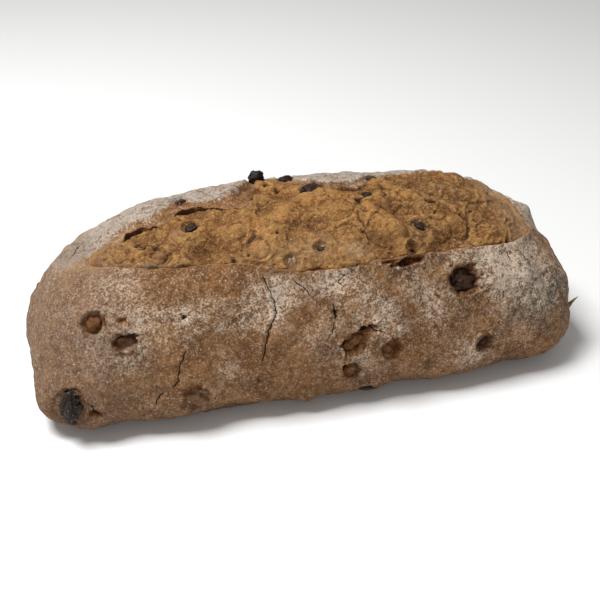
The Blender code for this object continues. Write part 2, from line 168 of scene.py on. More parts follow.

# Bubbles of the crumb with a thin groove round them darkened by painted shade, domes or shallow hollows: (x,
# angle, radius, height).
CRUMB_BUBBLES = (
    (-48.5, 65, 6.2, -1.4), (-34.2, 70, 4.4, 1.2), (-14, 79, 8.5, 1.4), (-27, 60, 4.2, 0.8),
    (-69, 82, 4.2, -1.4), (-73.5, 76, 4, 0.8), (-7, 64, 6.6, 0.8), (11, 60, 6, 1), (10, 76, 6.6, 0.8),
    (28, 61, 8, 1.4), (23.5, 76, 4.6, 1.3), (35, 84, 4, 1), (45, 83, 5.2, 1), (55, 87, 5, 1),
    (57, 63, 9, 1.8), (40, 72, 5, 0.9), (72, 72, 5.6, 1), (74, 60, 6.2, 0.7), (69, 85, 6, 0.6),
    (85, 78, 6, 0.4), (88, 64, 6, 0.3),
)

# Crumb that browned more (positive) or less (negative): (x, angle, radius, strength).
CRUMB_BROWNED = (
    (-46, 66, 11, 0.7), (-70, 80, 6, 0.5), (0.5, 70, 4, 0.7), (27, 85, 5, 0.5), (64, 82, 8, 0.4),
    (92, 76, 11, 0.6), (90, 96, 11, 0.6), (101, 92, 8, 0.8), (70, 100, 9, 0.4), (-24, 57, 11, -0.9),
    (-10, 54, 8, -0.6), (60, 91, 12, 0.7), (42, 71, 7, 0.7), (45.5, 60, 5, 0.8), (1, 56, 6, 0.7),
    (57.5, 62, 6, -0.7), (-10, 76, 10, 0.25), (-4, 66, 8, 0.25),
)

# Thin pale films on the crumb: (x, angle, radius, strength).
CRUMB_FILMS = (
    (10.8, 53.6, 3.6, 0.7), (15.8, 52, 3.4, 0.6), (-56, 80, 3, 0.35), (-26, 56, 8, 0.3), (40, 60, 4, 0.25),
    (-2, 57, 7, 0.35), (-12, 55, 7, 0.35), (93.5, 101, 6, 0.6), (49, 76, 1.6, 0.5),
)

# Flour that lies thick (positive) or is missing (negative): (x, angle, radius, strength).
FLOUR_PATCHES = (
    (-28, 34, 10, 0.4), (-20, 41, 7, 0.32), (0, 43, 10, 0.45), (8, 45, 8, 0.3), (-58, 35, 13, 0.2),
    (-60, 37, 3, 0.6), (83, 43, 15, 0.62), (97, 23, 11, 0.25), (39, 32, 10, 0.38), (62, -1, 8, 0.4),
    (-81, 35, 8, 0.4), (-95, 27, 8, 0.3), (19, 26, 9, 0.45), (52, 49, 7, 0.3), (70, 51, 10, 0.45),
    (-44, 10, 6, 0.28), (13, 4, 7, 0.3), (26, 18, 6, 0.3), (-55, -2, 6, 0.3), (-75, 42, 5, 0.22),
    (-82, 22, 4, 0.3), (-8, 18, 6, 0.22), (-47, 36, 6, 0.2), (100, 42, 12, 0.3), (-13, 29, 7, -0.42),
    (-31, 14, 9, -0.65), (-62, 12, 9, -0.45), (-50, 50, 12, -0.36), (-68, 52, 8, -0.3), (33, 8, 7, -0.45),
    (31, 24, 5, -0.45), (46, 38, 8, -0.35), (24, 35, 6, -0.3), (-16, 2, 14, -0.3), (-100, 0, 12, -0.2),
    (-85, 8, 10, -0.2), (60, 23, 6, -0.15), (68, 13, 6, -0.15), (75, 33, 6, 0.3), (-20, 38, 8, 0.26),
    (-24, 33, 6, 0.12), (-40, 97, 7, 0.35), (-101, 97, 9, 0.45), (-80, 60, 10, 0.16), (-70, 52, 8, 0.1),
    (8, 41, 6, -0.14), (88, 40, 12, 0.15), (96, 26, 8, 0.12), (-108, 34, 14, -0.14), (-74, 33, 12, -0.08),
    (-6, 26, 8, 0.12), (58, 1, 5, 0.35), (-40, 36, 11, -0.08), (100, 0, 12, -0.15), (-52, 24, 9, -0.22),
    (61, 27, 4.5, -0.55), (-2, 31, 4, -0.2),
)

# Crust that browned to a warm orange brown, and crust that greyed: (x, angle, radius, strength).
WARM_PATCHES = (
    (-31, 14, 11, 0.9), (-62, 12, 10, 0.8), (-13, 29, 8, 0.5), (33, 8, 8, 0.9), (31, 26, 6, 0.7),
    (-50, 30, 10, 0.4), (65, 10, 3.6, 0.9), (-104, 12, 4, 0.6), (70, 22, 6, 0.4), (106, 16, 5, 0.7),
    (12, 22, 4, 0.5), (-3, 33, 3.5, 0.7), (36, 18, 5, 0.6), (-100, -6, 8, 0.4), (-5, -6, 12, 0.4),
    (-68, 54, 12, 0.5), (-44, 51, 12, 0.6), (-95, 60, 12, 0.4), (11, 13, 6, 0.8), (24, 8, 5, 0.8),
)
GREY_PATCHES = (
    (92, 30, 11, 0.9), (84, 22, 8, 0.5), (-97, 101, 8, 0.7), (106, 34, 10, 0.7), (100, 24, 8, 0.6),
)

# Torn pits and hollows: (x, angle, half length, half width, spin in degrees, depth, lean, stain). With a lean
# the pit is deepest under its upper edge; the stain says how far its floor lacks flour and turns orange brown,
# and past about 0.75 it also paints near black shade into the pit.
PITS = (
    (10, 14.8, 7.8, 3.4, 42, 3.2, 0.9, 0.75), (6.6, 12, 4.2, 4, 0, 2.8, 0.6, 0.75),
    (12.8, 17.8, 5, 0.7, 38, 1, 0, 1.3), (4, 9.8, 0.6, 2.4, 0, 1.2, 0, 1.3),
    (23.8, 9, 3.6, 5.6, -12, 2.4, 0.5, 0.85), (22.6, 11.6, 1.8, 1.8, 0, 3.6, 0, 1.7),
    (6.8, 1.8, 3.2, 3.6, 20, 2, 0.5, 0.75), (-94, 46.8, 4.2, 4.2, 0, 1.6, 0, 0.3),
    (-89.5, 45.2, 0.7, 2.4, 8, 1.6, 0, 1.4), (-83.6, 32.6, 5.4, 3.2, 0, 3, 0.9, 0.55),
    (-83.4, 42.8, 2.1, 1.2, 10, 1.3, 0.6, 0.6), (57.7, 35.6, 7.4, 6, -18, 2.6, 0.3, 1),
    (66, 5.2, 2.4, 3.4, -32, 2.8, 0, 1.3), (-97.5, -2.2, 2.6, 1.2, -20, 2.2, 0.3, 1.2),
    (33.7, 45.4, 6.6, 1.9, 5, 2.8, 0.4, 1.2), (25.2, 46, 4.4, 0.6, 4, 1, 0, 1.2),
    (80, -4.5, 5.2, 1.8, 12, 0.8, 0, 0.3), (-60, 4.5, 4.2, 2.6, 8, 1.4, 0.5, 0.5),
    (15.8, -24, 3.2, 1.4, 0, 1.4, 0, 0.8), (-60, 37, 0.8, 0.8, 0, 1.8, 0, 1.2),
    (85, 150, 5, 5, 0, 2.2, 0, 0.8), (-30, 170, 6, 4, 30, 2.2, 0.3, 0.8),
)

# How dusty and how warm a piece looks, by its node's name.
PIECE_LOOKS = {
    "raisin_left_corner": (0.85, 0), "raisin_crown": (0.05, 0), "raisin_rim": (0.15, 0.1),
    "raisin_rim_left": (0.55, 1.2), "raisin_rim_right": (0.75, 0.6), "raisin_burst_back": (0.1, 0.35),
    "raisin_window": (0.05, 0.5), "raisin_burst_middle": (0.2, 0.5), "raisin_burst_left": (0.3, 0.3),
    "raisin_grey_left": (0.9, 1.4), "raisin_right_low": (0.1, 0.6), "raisin_front_lip": (0.1, 1),
    "raisin_burst_right": (0.12, 0.5), "walnut_left_window": (0, 1.5), "walnut_left_pit": (0.1, 0.85),
    "walnut_burst_left": (0, 0.25), "walnut_front_a": (0, 0.75), "walnut_front_c": (0, 0.8),
    "walnut_burst_nub": (0.6, 0.1), "walnut_rim": (0.05, 0.8), "walnut_base_left": (0.15, 0.7),
    "walnut_front_b": (0, 0.8),
}
OTHER_LOOKS = (0.12, 0.40)

# Powers of the plain loaf's curves: its plan, its long profile, and a section's sides, crown and underside.
PLAN_POWER = 4.1
PROFILE_POWER = 2.44
SIDE_POWER = 0.795
CROWN_POWER = 0.99
UNDERSIDE_POWER = 0.776
END_WIDENING = 0.05
# The torn corner at the left end, which stands clear of the floor: where it starts and ends, and its height.
CORNER = (-0.1085, -0.1125, 0.0046)
BASE_ANGLE = -90
TURN = 360


def metres(name, description, default):
    """A property that is a length."""
    return bpy.props.FloatProperty(name=name, description=description, default=default, unit="LENGTH")


def number(name, description, default):
    """A property that is a plain number."""
    return bpy.props.FloatProperty(name=name, description=description, default=default)


def colour(name, description, default):
    """A property that is a colour."""
    return bpy.props.FloatVectorProperty(
        name=name, description=description, default=default, subtype="COLOR")


class LoafForm(bpy.types.PropertyGroup):
    """Sizes of the loaf's form."""

    length: metres("Length", "Length of the plain loaf", 0.240)
    width: metres("Width", "Width of the plain loaf", 0.1016)
    height: metres("Height", "Height of the plain loaf", 0.0785)
    widest_level: metres("Widest level", "Height of the widest line", 0.0175)
    base_cut: metres("Base cut", "How far the underside's curve is cut off by the floor", 0.0043)
    bow: metres("Bow", "How far the middle bows to the back", 0.0022)
    lip_rise: metres("Lip rise", "How far the torn lips stand up", 0.0010)
    opening_depth: metres("Opening depth", "Depth of the crust's opening under the crumb", 0.0060)
    crumb_drop: metres("Crumb drop", "How far the crumb lies below the crust", 0.0014)
    crack_depth: metres("Crack depth", "Depth of the deepest crack", 0.0009)


class CrustFinish(bpy.types.PropertyGroup):
    """Colours of the crust."""

    deep: colour("Deep brown", "Crust where it baked darkest", (0.100, 0.040, 0.014))
    tan: colour("Tan", "Crust where it baked lightest", (0.370, 0.180, 0.066))
    warm: colour("Warm brown", "Crust where it glazed to a warm brown", (0.230, 0.092, 0.022))
    flour: colour("Flour", "Flour on the crust", (0.790, 0.655, 0.520))
    rim_flour: colour("Rim flour", "Thick flour behind the burst", (0.540, 0.470, 0.395))
    crack: colour("Crack", "Shade inside a crack", (0.013, 0.005, 0.003))
    roughness: number("Roughness", "Roughness of the crust", 0.86)


class CrumbFinish(bpy.types.PropertyGroup):
    """Colours of the crumb in the burst."""

    golden: colour("Golden", "Crumb in the middle of the burst", (0.318, 0.119, 0.023))
    brown: colour("Brown", "Crumb that browned, most of it at the right", (0.205, 0.084, 0.029))
    # Painted shade for the crumb's hollows, also laid on dark streaks of its grain.
    hollow_shade_and_grain: colour("Hollow", "Crumb deep in hollows", (0.125, 0.040, 0.009))
    # Painted highlight for the crumb's ridges, also laid on its pale tone and strands.
    ridge_highlight_and_tone: colour("Ridge", "Crumb along thin ridges and strands", (0.560, 0.315, 0.105))
    roughness: number("Roughness", "Roughness of the crumb", 0.74)


class PieceFinish(bpy.types.PropertyGroup):
    """Colours of the raisins and walnut pieces."""

    raisin: colour("Raisin", "Dark raisin skin", (0.018, 0.009, 0.005))
    raisin_warm: colour("Warm raisin", "Raisin skin where it is thin", (0.085, 0.036, 0.019))
    bloom: colour("Bloom", "Sugar bloom and flour on a raisin's folds", (0.075, 0.055, 0.042))
    walnut: colour("Walnut", "Baked walnut flesh", (0.205, 0.108, 0.042))
    walnut_skin: colour("Walnut skin", "Brown walnut skin", (0.125, 0.050, 0.016))


class Studio(bpy.types.PropertyGroup):
    """The camera and the light."""

    azimuth: number("Azimuth", "Turn of the camera round the loaf, in degrees", -16.83)
    elevation: number("Elevation", "Height angle of the camera, in degrees", 31.56)
    distance: metres("Distance", "Camera to the loaf's middle", 0.4359)
    lens: number("Lens", "Focal length in millimetres", 59.0)
    roll: number("Roll", "Tilt of the picture, in degrees", 0.63)
    key_power: number("Key power", "Power of the soft light overhead, in watts", 9.8)
    fill_power: number("Fill power", "Power of the soft light in front, in watts", 1.6)
    sky: number("Sky", "Strength of the even light all round", 0.27)
    floor: colour("Floor", "Colour of the floor", (0.86, 0.86, 0.86))


# Noise and curves, on whole arrays

LATTICE = 256
WAVE_COUNT = 14
NOISE_GAIN = 1.7


def power(value, exponent):
    """The value's size raised to the exponent, with its sign kept."""
    return np.sign(value) * np.abs(value) ** exponent


def smooth(value, low, high):
    """0 up to low, 1 from high, with level ends between."""
    share = np.clip((value - low) / (high - low), 0, 1)
    return share * share * (3 - 2 * share)


def fade(value, low, high):
    """1 up to low, 0 from high, with level ends between."""
    return 1 - smooth(value, low, high)


def between(value, start, full, last, gone):
    """0 up to start, 1 from full to last, and 0 again from gone."""
    return smooth(value, start, full) * fade(value, last, gone)


def bell(distance, width):
    """1 at no distance, falling to 1/e at one width."""
    return np.exp(-((distance / width) ** 2))


def unit_vectors(draw, count):
    """Random directions in space."""
    found = draw.normal(size=(count, 3))
    return found / np.linalg.norm(found, axis=1, keepdims=True)


def waves(points, wavelength, seed):
    """The sum of plane waves in seeded directions, of about unit size."""
    draw = np.random.default_rng(seed)
    directions = unit_vectors(draw, WAVE_COUNT)
    phases = draw.uniform(0, 2 * math.pi, WAVE_COUNT)
    stretch = draw.uniform(0.7, 1.4, WAVE_COUNT)
    turns = points @ (directions * stretch[:, None]).T * (2 * math.pi / wavelength) + phases
    return np.cos(turns).sum(axis=-1) / math.sqrt(WAVE_COUNT / 2)


def hashed(cell, order):
    """A number below the lattice's size for each cell of a cubic lattice, from a shuffled order."""
    first = order[cell[..., 0] % LATTICE]
    second = order[(first + cell[..., 1]) % LATTICE]
    return order[(second + cell[..., 2]) % LATTICE]


def grain(points, size, seed):
    """Gradient noise of about unit size: slopes at the corners of a cubic lattice, blended smoothly."""
    draw = np.random.default_rng(seed)
    slopes = unit_vectors(draw, LATTICE)
    order = draw.permutation(LATTICE)
    scaled = points / size
    cell = np.floor(scaled).astype(np.int64)
    inner = scaled - cell
    blend = inner**3 * (inner * (inner * 6 - 15) + 10)
    total = np.zeros(points.shape[:-1])
    for corner in np.ndindex(2, 2, 2):
        step = np.array(corner)
        weight = np.prod(np.where(step == 1, blend, 1 - blend), axis=-1)
        total += weight * ((inner - step) * slopes[hashed(cell + step, order)]).sum(axis=-1)
    return total * NOISE_GAIN


def edge_grain(x, size, seed):
    """Gradient noise along the loaf's length alone."""
    return grain(np.stack([x, 0 * x, 0 * x], axis=-1), size, seed)


def layered(points, size, seed, layers=3, keep=0.5):
    """Gradient noise in layers, each half the size and keep times the height of the one before."""
    total = np.zeros(points.shape[:-1])
    for layer in range(layers):
        total += keep**layer * grain(points, size / 2**layer, seed + layer)
    return total


def warped(points, size, amount, seed):
    """The points pushed about by noise of this size, so that patterns on them swirl."""
    push = [grain(points, size, seed + axis) for axis in range(3)]
    return points + amount * np.stack(push, axis=-1)


def cells(points, size, seed):
    """Distances, in cell sizes, to the nearest and next nearest of points scattered one in each lattice cell,
    and a random number for the nearest one's cell."""
    draw = np.random.default_rng(seed)
    order = draw.permutation(LATTICE)
    jitter = draw.uniform(0.1, 0.9, (LATTICE, 3))
    scaled = points / size
    cell = np.floor(scaled).astype(np.int64)
    first = np.full(points.shape[:-1], 9.0)
    second = first.copy()
    owner = np.zeros(points.shape[:-1])
    for offset in np.ndindex(3, 3, 3):
        near = cell + np.array(offset) - 1
        index = hashed(near, order)
        distance = np.linalg.norm(near + jitter[index] - scaled, axis=-1)
        second = np.where(distance < first, first, np.minimum(second, distance))
        owner = np.where(distance < first, index / (LATTICE - 1), owner)
        first = np.minimum(first, distance)
    return first, second, owner


def blurred(values, reach):
    """Values on a grid averaged over the points within reach, as a broad base for fine relief."""
    for _ in range(2):
        padded = np.pad(values.T, ((reach + 1, reach), (0, 0)), mode="edge")
        total = np.cumsum(padded, axis=0)
        values = (total[2 * reach + 1:] - total[:-2 * reach - 1]) / (2 * reach + 1)
    return values


def edge_angle(x, rows):
    """The angle of an edge at each x: a cubic through the rows, level before the first and after the last."""
    xs, angles = np.array(rows, float).T
    xs = xs * MM
    slopes = np.gradient(angles, xs)
    x = np.clip(x, xs[0], xs[-1])
    left = np.clip(np.searchsorted(xs, x, side="right") - 1, 0, len(xs) - 2)
    span = xs[left + 1] - xs[left]
    t = (x - xs[left]) / span
    return (
        angles[left] * (1 + 2 * t) * (1 - t) ** 2
        + angles[left + 1] * t * t * (3 - 2 * t)
        + span * (slopes[left] * t * (1 - t) ** 2 - slopes[left + 1] * t * t * (1 - t))
    )


# The plain loaf

OUTLINE_STEPS = 2881
PLAN_STEPS = 6001
CRACK_STEP = 1.2 * MM
CRACK_WANDER = 0.22 * MM
FAR = 9 * MM


def plain_loaf(form, share, angle):
    """The loaf without relief, a superellipse on a flat base. share is x over half the length."""
    radians = np.radians(angle)
    across = np.cos(radians)
    upward = np.sin(radians)
    plan = np.maximum(1 - np.abs(share) ** PLAN_POWER, 0) ** (1 / PLAN_POWER)
    profile = np.maximum(1 - np.abs(share) ** PROFILE_POWER, 0) ** (1 / PROFILE_POWER)
    half_width = form.width / 2 * (1 + END_WIDENING * share) * plan
    y = -half_width * power(across, SIDE_POWER) + form.bow * (1 - share**2)
    level = form.widest_level
    above = level + (form.height - level) * profile * np.abs(upward) ** CROWN_POWER
    below = level - (level + form.base_cut) * plan * np.abs(upward) ** UNDERSIDE_POWER
    z = np.where(upward > 0, above, np.maximum(below, 0))
    return np.stack([form.length / 2 * share + 0 * angle, y, z], axis=-1)


def outward(form, share, angle):
    """Unit normals of the plain loaf, from small steps along it and round it."""
    step = 0.002
    turn = 0.5
    share = np.clip(share, step - 1 + 1e-4, 1 - step - 1e-4)
    along = plain_loaf(form, share + step, angle) - plain_loaf(form, share - step, angle)
    around = plain_loaf(form, share, angle + turn) - plain_loaf(form, share, angle - turn)
    normal = np.cross(along, around)
    return normal / np.maximum(np.linalg.norm(normal, axis=-1, keepdims=True), 1e-12)


def place(form, x, angle):
    """Points of the plain loaf at x in millimetres and an angle, and their outward directions."""
    share = np.asarray(x, float) * MM / (form.length / 2)
    angle = np.asarray(angle, float)
    return plain_loaf(form, share, angle), outward(form, share, angle)


def distance_to(form, points, x, angle):
    """How far each point is from a place on the plain loaf."""
    return np.linalg.norm(points - place(form, x, angle)[0], axis=-1)


def arc_table(form):
    """Angles round the middle section and the length along its outline up to each, for even rows."""
    angles = np.linspace(BASE_ANGLE, BASE_ANGLE + TURN, OUTLINE_STEPS)
    outline = plain_loaf(form, np.zeros_like(angles), angles)
    run = np.concatenate([[0], np.cumsum(np.linalg.norm(np.diff(outline, axis=0), axis=1))])
    return angles, run


def even_share(form, count, end_spacing):
    """x over half the length at each station, spaced along the outline seen from above."""
    turn = np.linspace(0, math.pi, PLAN_STEPS)
    share = -power(np.cos(turn), 2 / PLAN_POWER)
    side = end_spacing * form.width / form.length * np.sin(turn) ** (2 / PLAN_POWER)
    run = np.concatenate([[0], np.cumsum(np.hypot(np.diff(share), np.diff(side)))])
    return np.interp(np.linspace(0, 1, count), run / run[-1], share)


def patches(form, points, rows):
    """The sum of round patches, each a bell of its own radius and strength."""
    total = np.zeros(points.shape[:-1])
    for x, angle, radius, strength in rows:
        total += strength * bell(distance_to(form, points, x, angle), radius * MM)
    return total


def crack_line(form, places, seed):
    """A crack's points on the plain loaf: its places joined in short steps that wander a little."""
    corners, _ = place(form, *np.array(places, float).T)
    run = np.concatenate([[0], np.cumsum(np.linalg.norm(np.diff(corners, axis=0), axis=1))])
    count = max(int(run[-1] / CRACK_STEP), 2) + 1
    at = np.linspace(0, run[-1], count)
    push = np.random.default_rng(seed).normal(size=(count, 3)) * CRACK_WANDER
    push[[0, -1]] = 0
    return np.stack([np.interp(at, run, corners[:, axis]) for axis in range(3)], axis=-1) + push


def crack_field(form, points, normals, cracks, seed):
    """Signed distance to the nearest crack, and that crack's depth share, which fades at its two ends."""
    distance = np.full(points.shape[:-1], FAR)
    depth = np.zeros(points.shape[:-1])
    for order, (share, places) in enumerate(cracks):
        line = crack_line(form, places, seed + order)
        for step, (start, end) in enumerate(zip(line[:-1], line[1:])):
            along = end - start
            offset = points - start
            t = np.clip(offset @ along / (along @ along), 0, 1)
            offset = offset - t[..., None] * along
            length = np.linalg.norm(offset, axis=-1)
            side = np.where((np.cross(along, offset) * normals).sum(axis=-1) < 0, -1, 1)
            nearer = length < np.abs(distance)
            distance = np.where(nearer, side * length, distance)
            run = (step + t) / (len(line) - 1)
            taper = np.minimum(smooth(run, -0.02, 0.12), fade(run, 0.75, 1.02))
            depth = np.where(nearer, share * taper, depth)
    return distance, depth


def corner_lift(points):
    """The least height of the left end's torn corner over the floor."""
    start, end, height = CORNER
    beyond = smooth(-points[..., 0] + 0.0007 * grain(points, 0.006, 95), -start, -end)
    return height * beyond * fade(points[..., 1], -0.010, 0.012)


def split_share(x):
    """How far the crumb tore away from the back ledge at each x, 0 where the two still meet."""
    split = between(x, -0.0795, -0.0770, 0.028, 0.040) * (1 - 0.45 * smooth(x, 0.004, 0.010))
    split = split * (1 - 0.95 * between(x, -0.026, -0.022, 0.004, 0.012))
    return np.clip(0.80 * split * (1 + 0.55 * edge_grain(x, 0.007, 133)), 0, 1)


def front_gape(x):
    """How far the crumb tore away from the front lip at each x."""
    torn = np.clip(0.25 + 1.6 * edge_grain(x, 0.0100, 137), 0, 1)
    return torn * between(x, -0.074, -0.060, 0.070, 0.088)


def rim_angle(x):
    """The angle at which the flour behind the burst begins, ragged."""
    return edge_angle(x, RIM_EDGE) + 0.9 * edge_grain(x, 0.0060, 65) + 0.5 * edge_grain(x, 0.0021, 66)


def burst_edges(form, x):
    """Ragged front and back edges of the burst at each x, as lengths round the middle section."""
    angles, run = arc_table(form)
    front = np.interp(edge_angle(x, BURST_FRONT), angles, run)
    back = np.interp(edge_angle(x, BURST_BACK), angles, run)
    width = smooth(back - front, 0.002, 0.012)
    front = front + width * (0.00075 * edge_grain(x, 0.0075, 61) + 0.00035 * edge_grain(x, 0.0024, 62))
    back = back + width * (0.00110 * edge_grain(x, 0.0090, 63) + 0.00080 * edge_grain(x, 0.0028, 64))
    back = back + width * 0.00060 * edge_grain(x, 0.0011, 67)
    return front, back


def broad_relief(form, points):
    """The lumps, knobs and mounds that the solid has too."""
    rise = 0.0006 * waves(points, 0.045, 3) + 0.0003 * waves(points, 0.016, 5)
    return rise + MM * patches(form, points, MOUNDS)


class Seat:
    """Where a raisin or walnut piece sits: its middle, its own axes and half sizes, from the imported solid."""

    def __init__(self, name):
        self.name = name
        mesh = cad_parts[name].data
        corners = np.empty(len(mesh.vertices) * 3)
        mesh.vertices.foreach_get("co", corners)
        low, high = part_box(name)
        self.middle = np.array((low + high) / 2)
        offsets = corners.reshape(-1, 3) - self.middle
        self.axes = np.linalg.eigh(np.cov(offsets.T))[1][:, ::-1]
        if np.linalg.det(self.axes) < 0:
            self.axes[:, 2] *= -1
        local = offsets @ self.axes
        self.half = (local.max(axis=0) - local.min(axis=0)) / 2
        self.middle = self.middle + self.axes @ ((local.max(axis=0) + local.min(axis=0)) / 2)
        self.radius = (self.half[0] * self.half[1]) ** 0.5


def seats(kind):
    """The seats of all pieces of one kind, by their node names."""
    return [Seat(name) for name in sorted(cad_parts) if name.startswith(kind)]


def round_pieces(plain, normals, pieces):
    """The dough round each piece: it sinks under the piece, with a groove round it and a low swell outside.
    Also gives how near each point is to a piece's edge."""
    rise, near = np.zeros((2, *plain.shape[:-1]))
    ragged = 1 + 0.16 * grain(plain, 0.0042, 300) + 0.08 * grain(plain, 0.0015, 301)
    for seat in pieces:
        radius = seat.radius
        offset = plain - seat.middle
        closest = np.unravel_index(np.argmin((offset**2).sum(axis=-1)), rise.shape)
        facing = normals[closest]
        height = offset @ facing
        reach = np.linalg.norm(offset - height[..., None] * facing, axis=-1) * ragged
        beside = bell(height, 3.2 * radius)
        rise -= beside * 0.0020 * fade(reach, 0.55 * radius, 1.02 * radius)
        rise -= beside * 0.00095 * bell(reach - 1.02 * radius, 0.00060)
        rise += beside * 0.00035 * bell(reach - 1.45 * radius, 0.40 * radius)
        near = np.maximum(near, beside * bell(reach - radius, 0.0009))
    return rise, near


def torn_pits(form, plain):
    """The pits' relief with their raised torn edges, and how far each point lies in a pit and on its edge."""
    rise, pit, edge = np.zeros((3, *plain.shape[:-1]))
    ragged = 1 + 0.34 * grain(plain, 0.0034, 400) + 0.20 * grain(plain, 0.0013, 401)
    for x, angle, length, width, spin, depth, lean, stain in PITS:
        centre, normal = place(form, x, angle)
        along = np.array([1.0, 0, 0]) - normal[0] * normal
        along = along / np.linalg.norm(along)
        around = np.cross(normal, along)
        turn = math.radians(spin)
        offset = plain - centre
        u = offset @ (math.cos(turn) * along + math.sin(turn) * around) / (length * MM)
        v = offset @ (math.cos(turn) * around - math.sin(turn) * along) / (width * MM)
        reach = np.hypot(u, v) * ragged
        here = np.abs(offset @ normal) < 12 * MM
        bowl = here * fade(reach, 0.80, 1.0)
        rise -= depth * MM * bowl * np.clip(1 + lean * v, 0.15, 1.7)
        rise += here * min(0.0006, 0.3 * depth * MM) * bell(reach - 1.20, 0.17)
        pit = np.maximum(pit, stain * bowl)
        edge = np.maximum(edge, here * bell(reach - 1.15, 0.20))
    return rise, pit, edge


# Mesh building

def closed_grid(name, grid, first, last):
    """A closed mesh from stations of points that each run all the way round, with a pole at either end."""
    stations, rows, _ = grid.shape
    points = np.concatenate([[first], grid.reshape(-1, 3), [last]])
    ring = np.arange(rows)
    following = (ring + 1) % rows
    here = 1 + np.arange(stations - 1)[:, None] * rows
    quads = np.stack([here + ring, here + rows + ring, here + rows + following, here + following], axis=-1)
    quads = quads.reshape(-1, 4)
    tail = 1 + (stations - 1) * rows
    caps = np.concatenate([
        np.stack([0 * ring, 1 + ring, 1 + following], axis=-1),
        np.stack([0 * ring + len(points) - 1, tail + following, tail + ring], axis=-1),
    ])
    corners = points[quads]
    volume = (corners[:, 0] * np.cross(corners[:, 1], corners[:, 2])).sum()
    if volume < 0:
        quads = quads[:, ::-1]
        caps = caps[:, ::-1]
    mesh = bpy.data.meshes.new(name)
    loops = np.concatenate([quads.ravel(), caps.ravel()])
    sizes = np.concatenate([np.full(len(quads), 4), np.full(len(caps), 3)])
    mesh.vertices.add(len(points))
    mesh.vertices.foreach_set("co", points.astype(np.float32).ravel())
    mesh.loops.add(len(loops))
    mesh.loops.foreach_set("vertex_index", loops.astype(np.int32))
    mesh.polygons.add(len(sizes))
    mesh.polygons.foreach_set("loop_start", (np.cumsum(sizes) - sizes).astype(np.int32))
    mesh.update(calc_edges=True)
    mesh.validate()
    mesh.shade_smooth()
    return mesh


def store(mesh, name, values, at_ends=0):
    """Keeps one number for each point of a closed grid as the mesh's attribute."""
    column = np.concatenate([[at_ends], np.asarray(values).ravel(), [at_ends]])
    mesh.attributes.new(name, "FLOAT", "POINT").data.foreach_set("value", column.astype(np.float32))


def add_piece(name, mesh, material, nodes):
    """An object for the mesh, which rides on the loaf and stands for these nodes."""
    piece = bpy.data.objects.new(name, mesh)
    bpy.context.scene.collection.objects.link(piece)
    mesh.materials.append(material)
    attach(piece, "root")
    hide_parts(*nodes)
    return piece


# The crust

CRUST_STATIONS = 378
END_SPACING = 0.75
SOLE_ROWS = 7
FRONT_ROWS = 128
FLOOR_ROWS = 10
BACK_ROWS = 98
ROW_PULL = 0.06
WALL_STEPS = (0.25, 0.5, 0.8, 1.2, 1.8)
WALL_ROOM = 6 * MM
SOLE_FRONT_ANGLE = -46
SOLE_BACK_ANGLE = 226
LEAST_OPENING = 0.0070
DEEPEST_CRACK = 1.6


def crust_rows(form, x):
    """Lengths round the section for every row at each x: even on the sides, close at the burst's edges."""
    angles, run = arc_table(form)
    front, back = burst_edges(form, x)
    middle = (front + back) / 2
    half = np.maximum((back - front) / 2, LEAST_OPENING / 2)
    front, back = (middle - half)[:, None], (middle + half)[:, None]
    sole_front, sole_back = np.interp((SOLE_FRONT_ANGLE, SOLE_BACK_ANGLE), angles, run)
    under = np.linspace(0, 1, SOLE_ROWS + 1)[None, :-1]
    before = np.linspace(0, 1, FRONT_ROWS + 1)[None, :-1]
    before = before + ROW_PULL * np.sin(math.pi * before)
    wall = np.array(WALL_STEPS)[None] * MM * np.minimum(1, (back - front) / WALL_ROOM)
    across = np.linspace(0, 1, FLOOR_ROWS + 2)[None, 1:-1]
    after = np.linspace(0, 1, BACK_ROWS + 1)[None, :-1]
    after = after - ROW_PULL * np.sin(math.pi * after)
    low, high = front + wall[:, -1:], back - wall[:, -1:]
    return np.concatenate([
        under * sole_front + 0 * front,
        sole_front + (front - sole_front) * before,
        front,
        front + wall,
        low + (high - low) * across,
        back - wall[:, ::-1],
        back + (sole_back - back) * after,
        sole_back + (run[-1] - sole_back) * under + 0 * back,
    ], axis=1)


class CrustGrid:
    """Where the crust's points lie: on the plain loaf, and past the edges of the burst and the rim."""

    def __init__(self, form):
        angles, run = arc_table(form)
        share = even_share(form, CRUST_STATIONS + 2, END_SPACING)[1:-1]
        self.x = share * form.length / 2
        rows = crust_rows(form, self.x)
        self.angle = np.interp(rows, run, angles)
        share = share[:, None] + 0 * self.angle
        self.plain = plain_loaf(form, share, self.angle)
        self.normals = outward(form, share, self.angle)
        front, back = burst_edges(form, self.x)
        self.past_front = rows - front[:, None]
        self.past_back = rows - back[:, None]
        self.inside = np.minimum(self.past_front, -self.past_back)
        self.opened = smooth(back - front, 0.003, 0.014)[:, None]
        self.long = self.x[:, None] + 0 * rows
        self.past_rim = rows - np.interp(rim_angle(self.x), angles, run)[:, None]


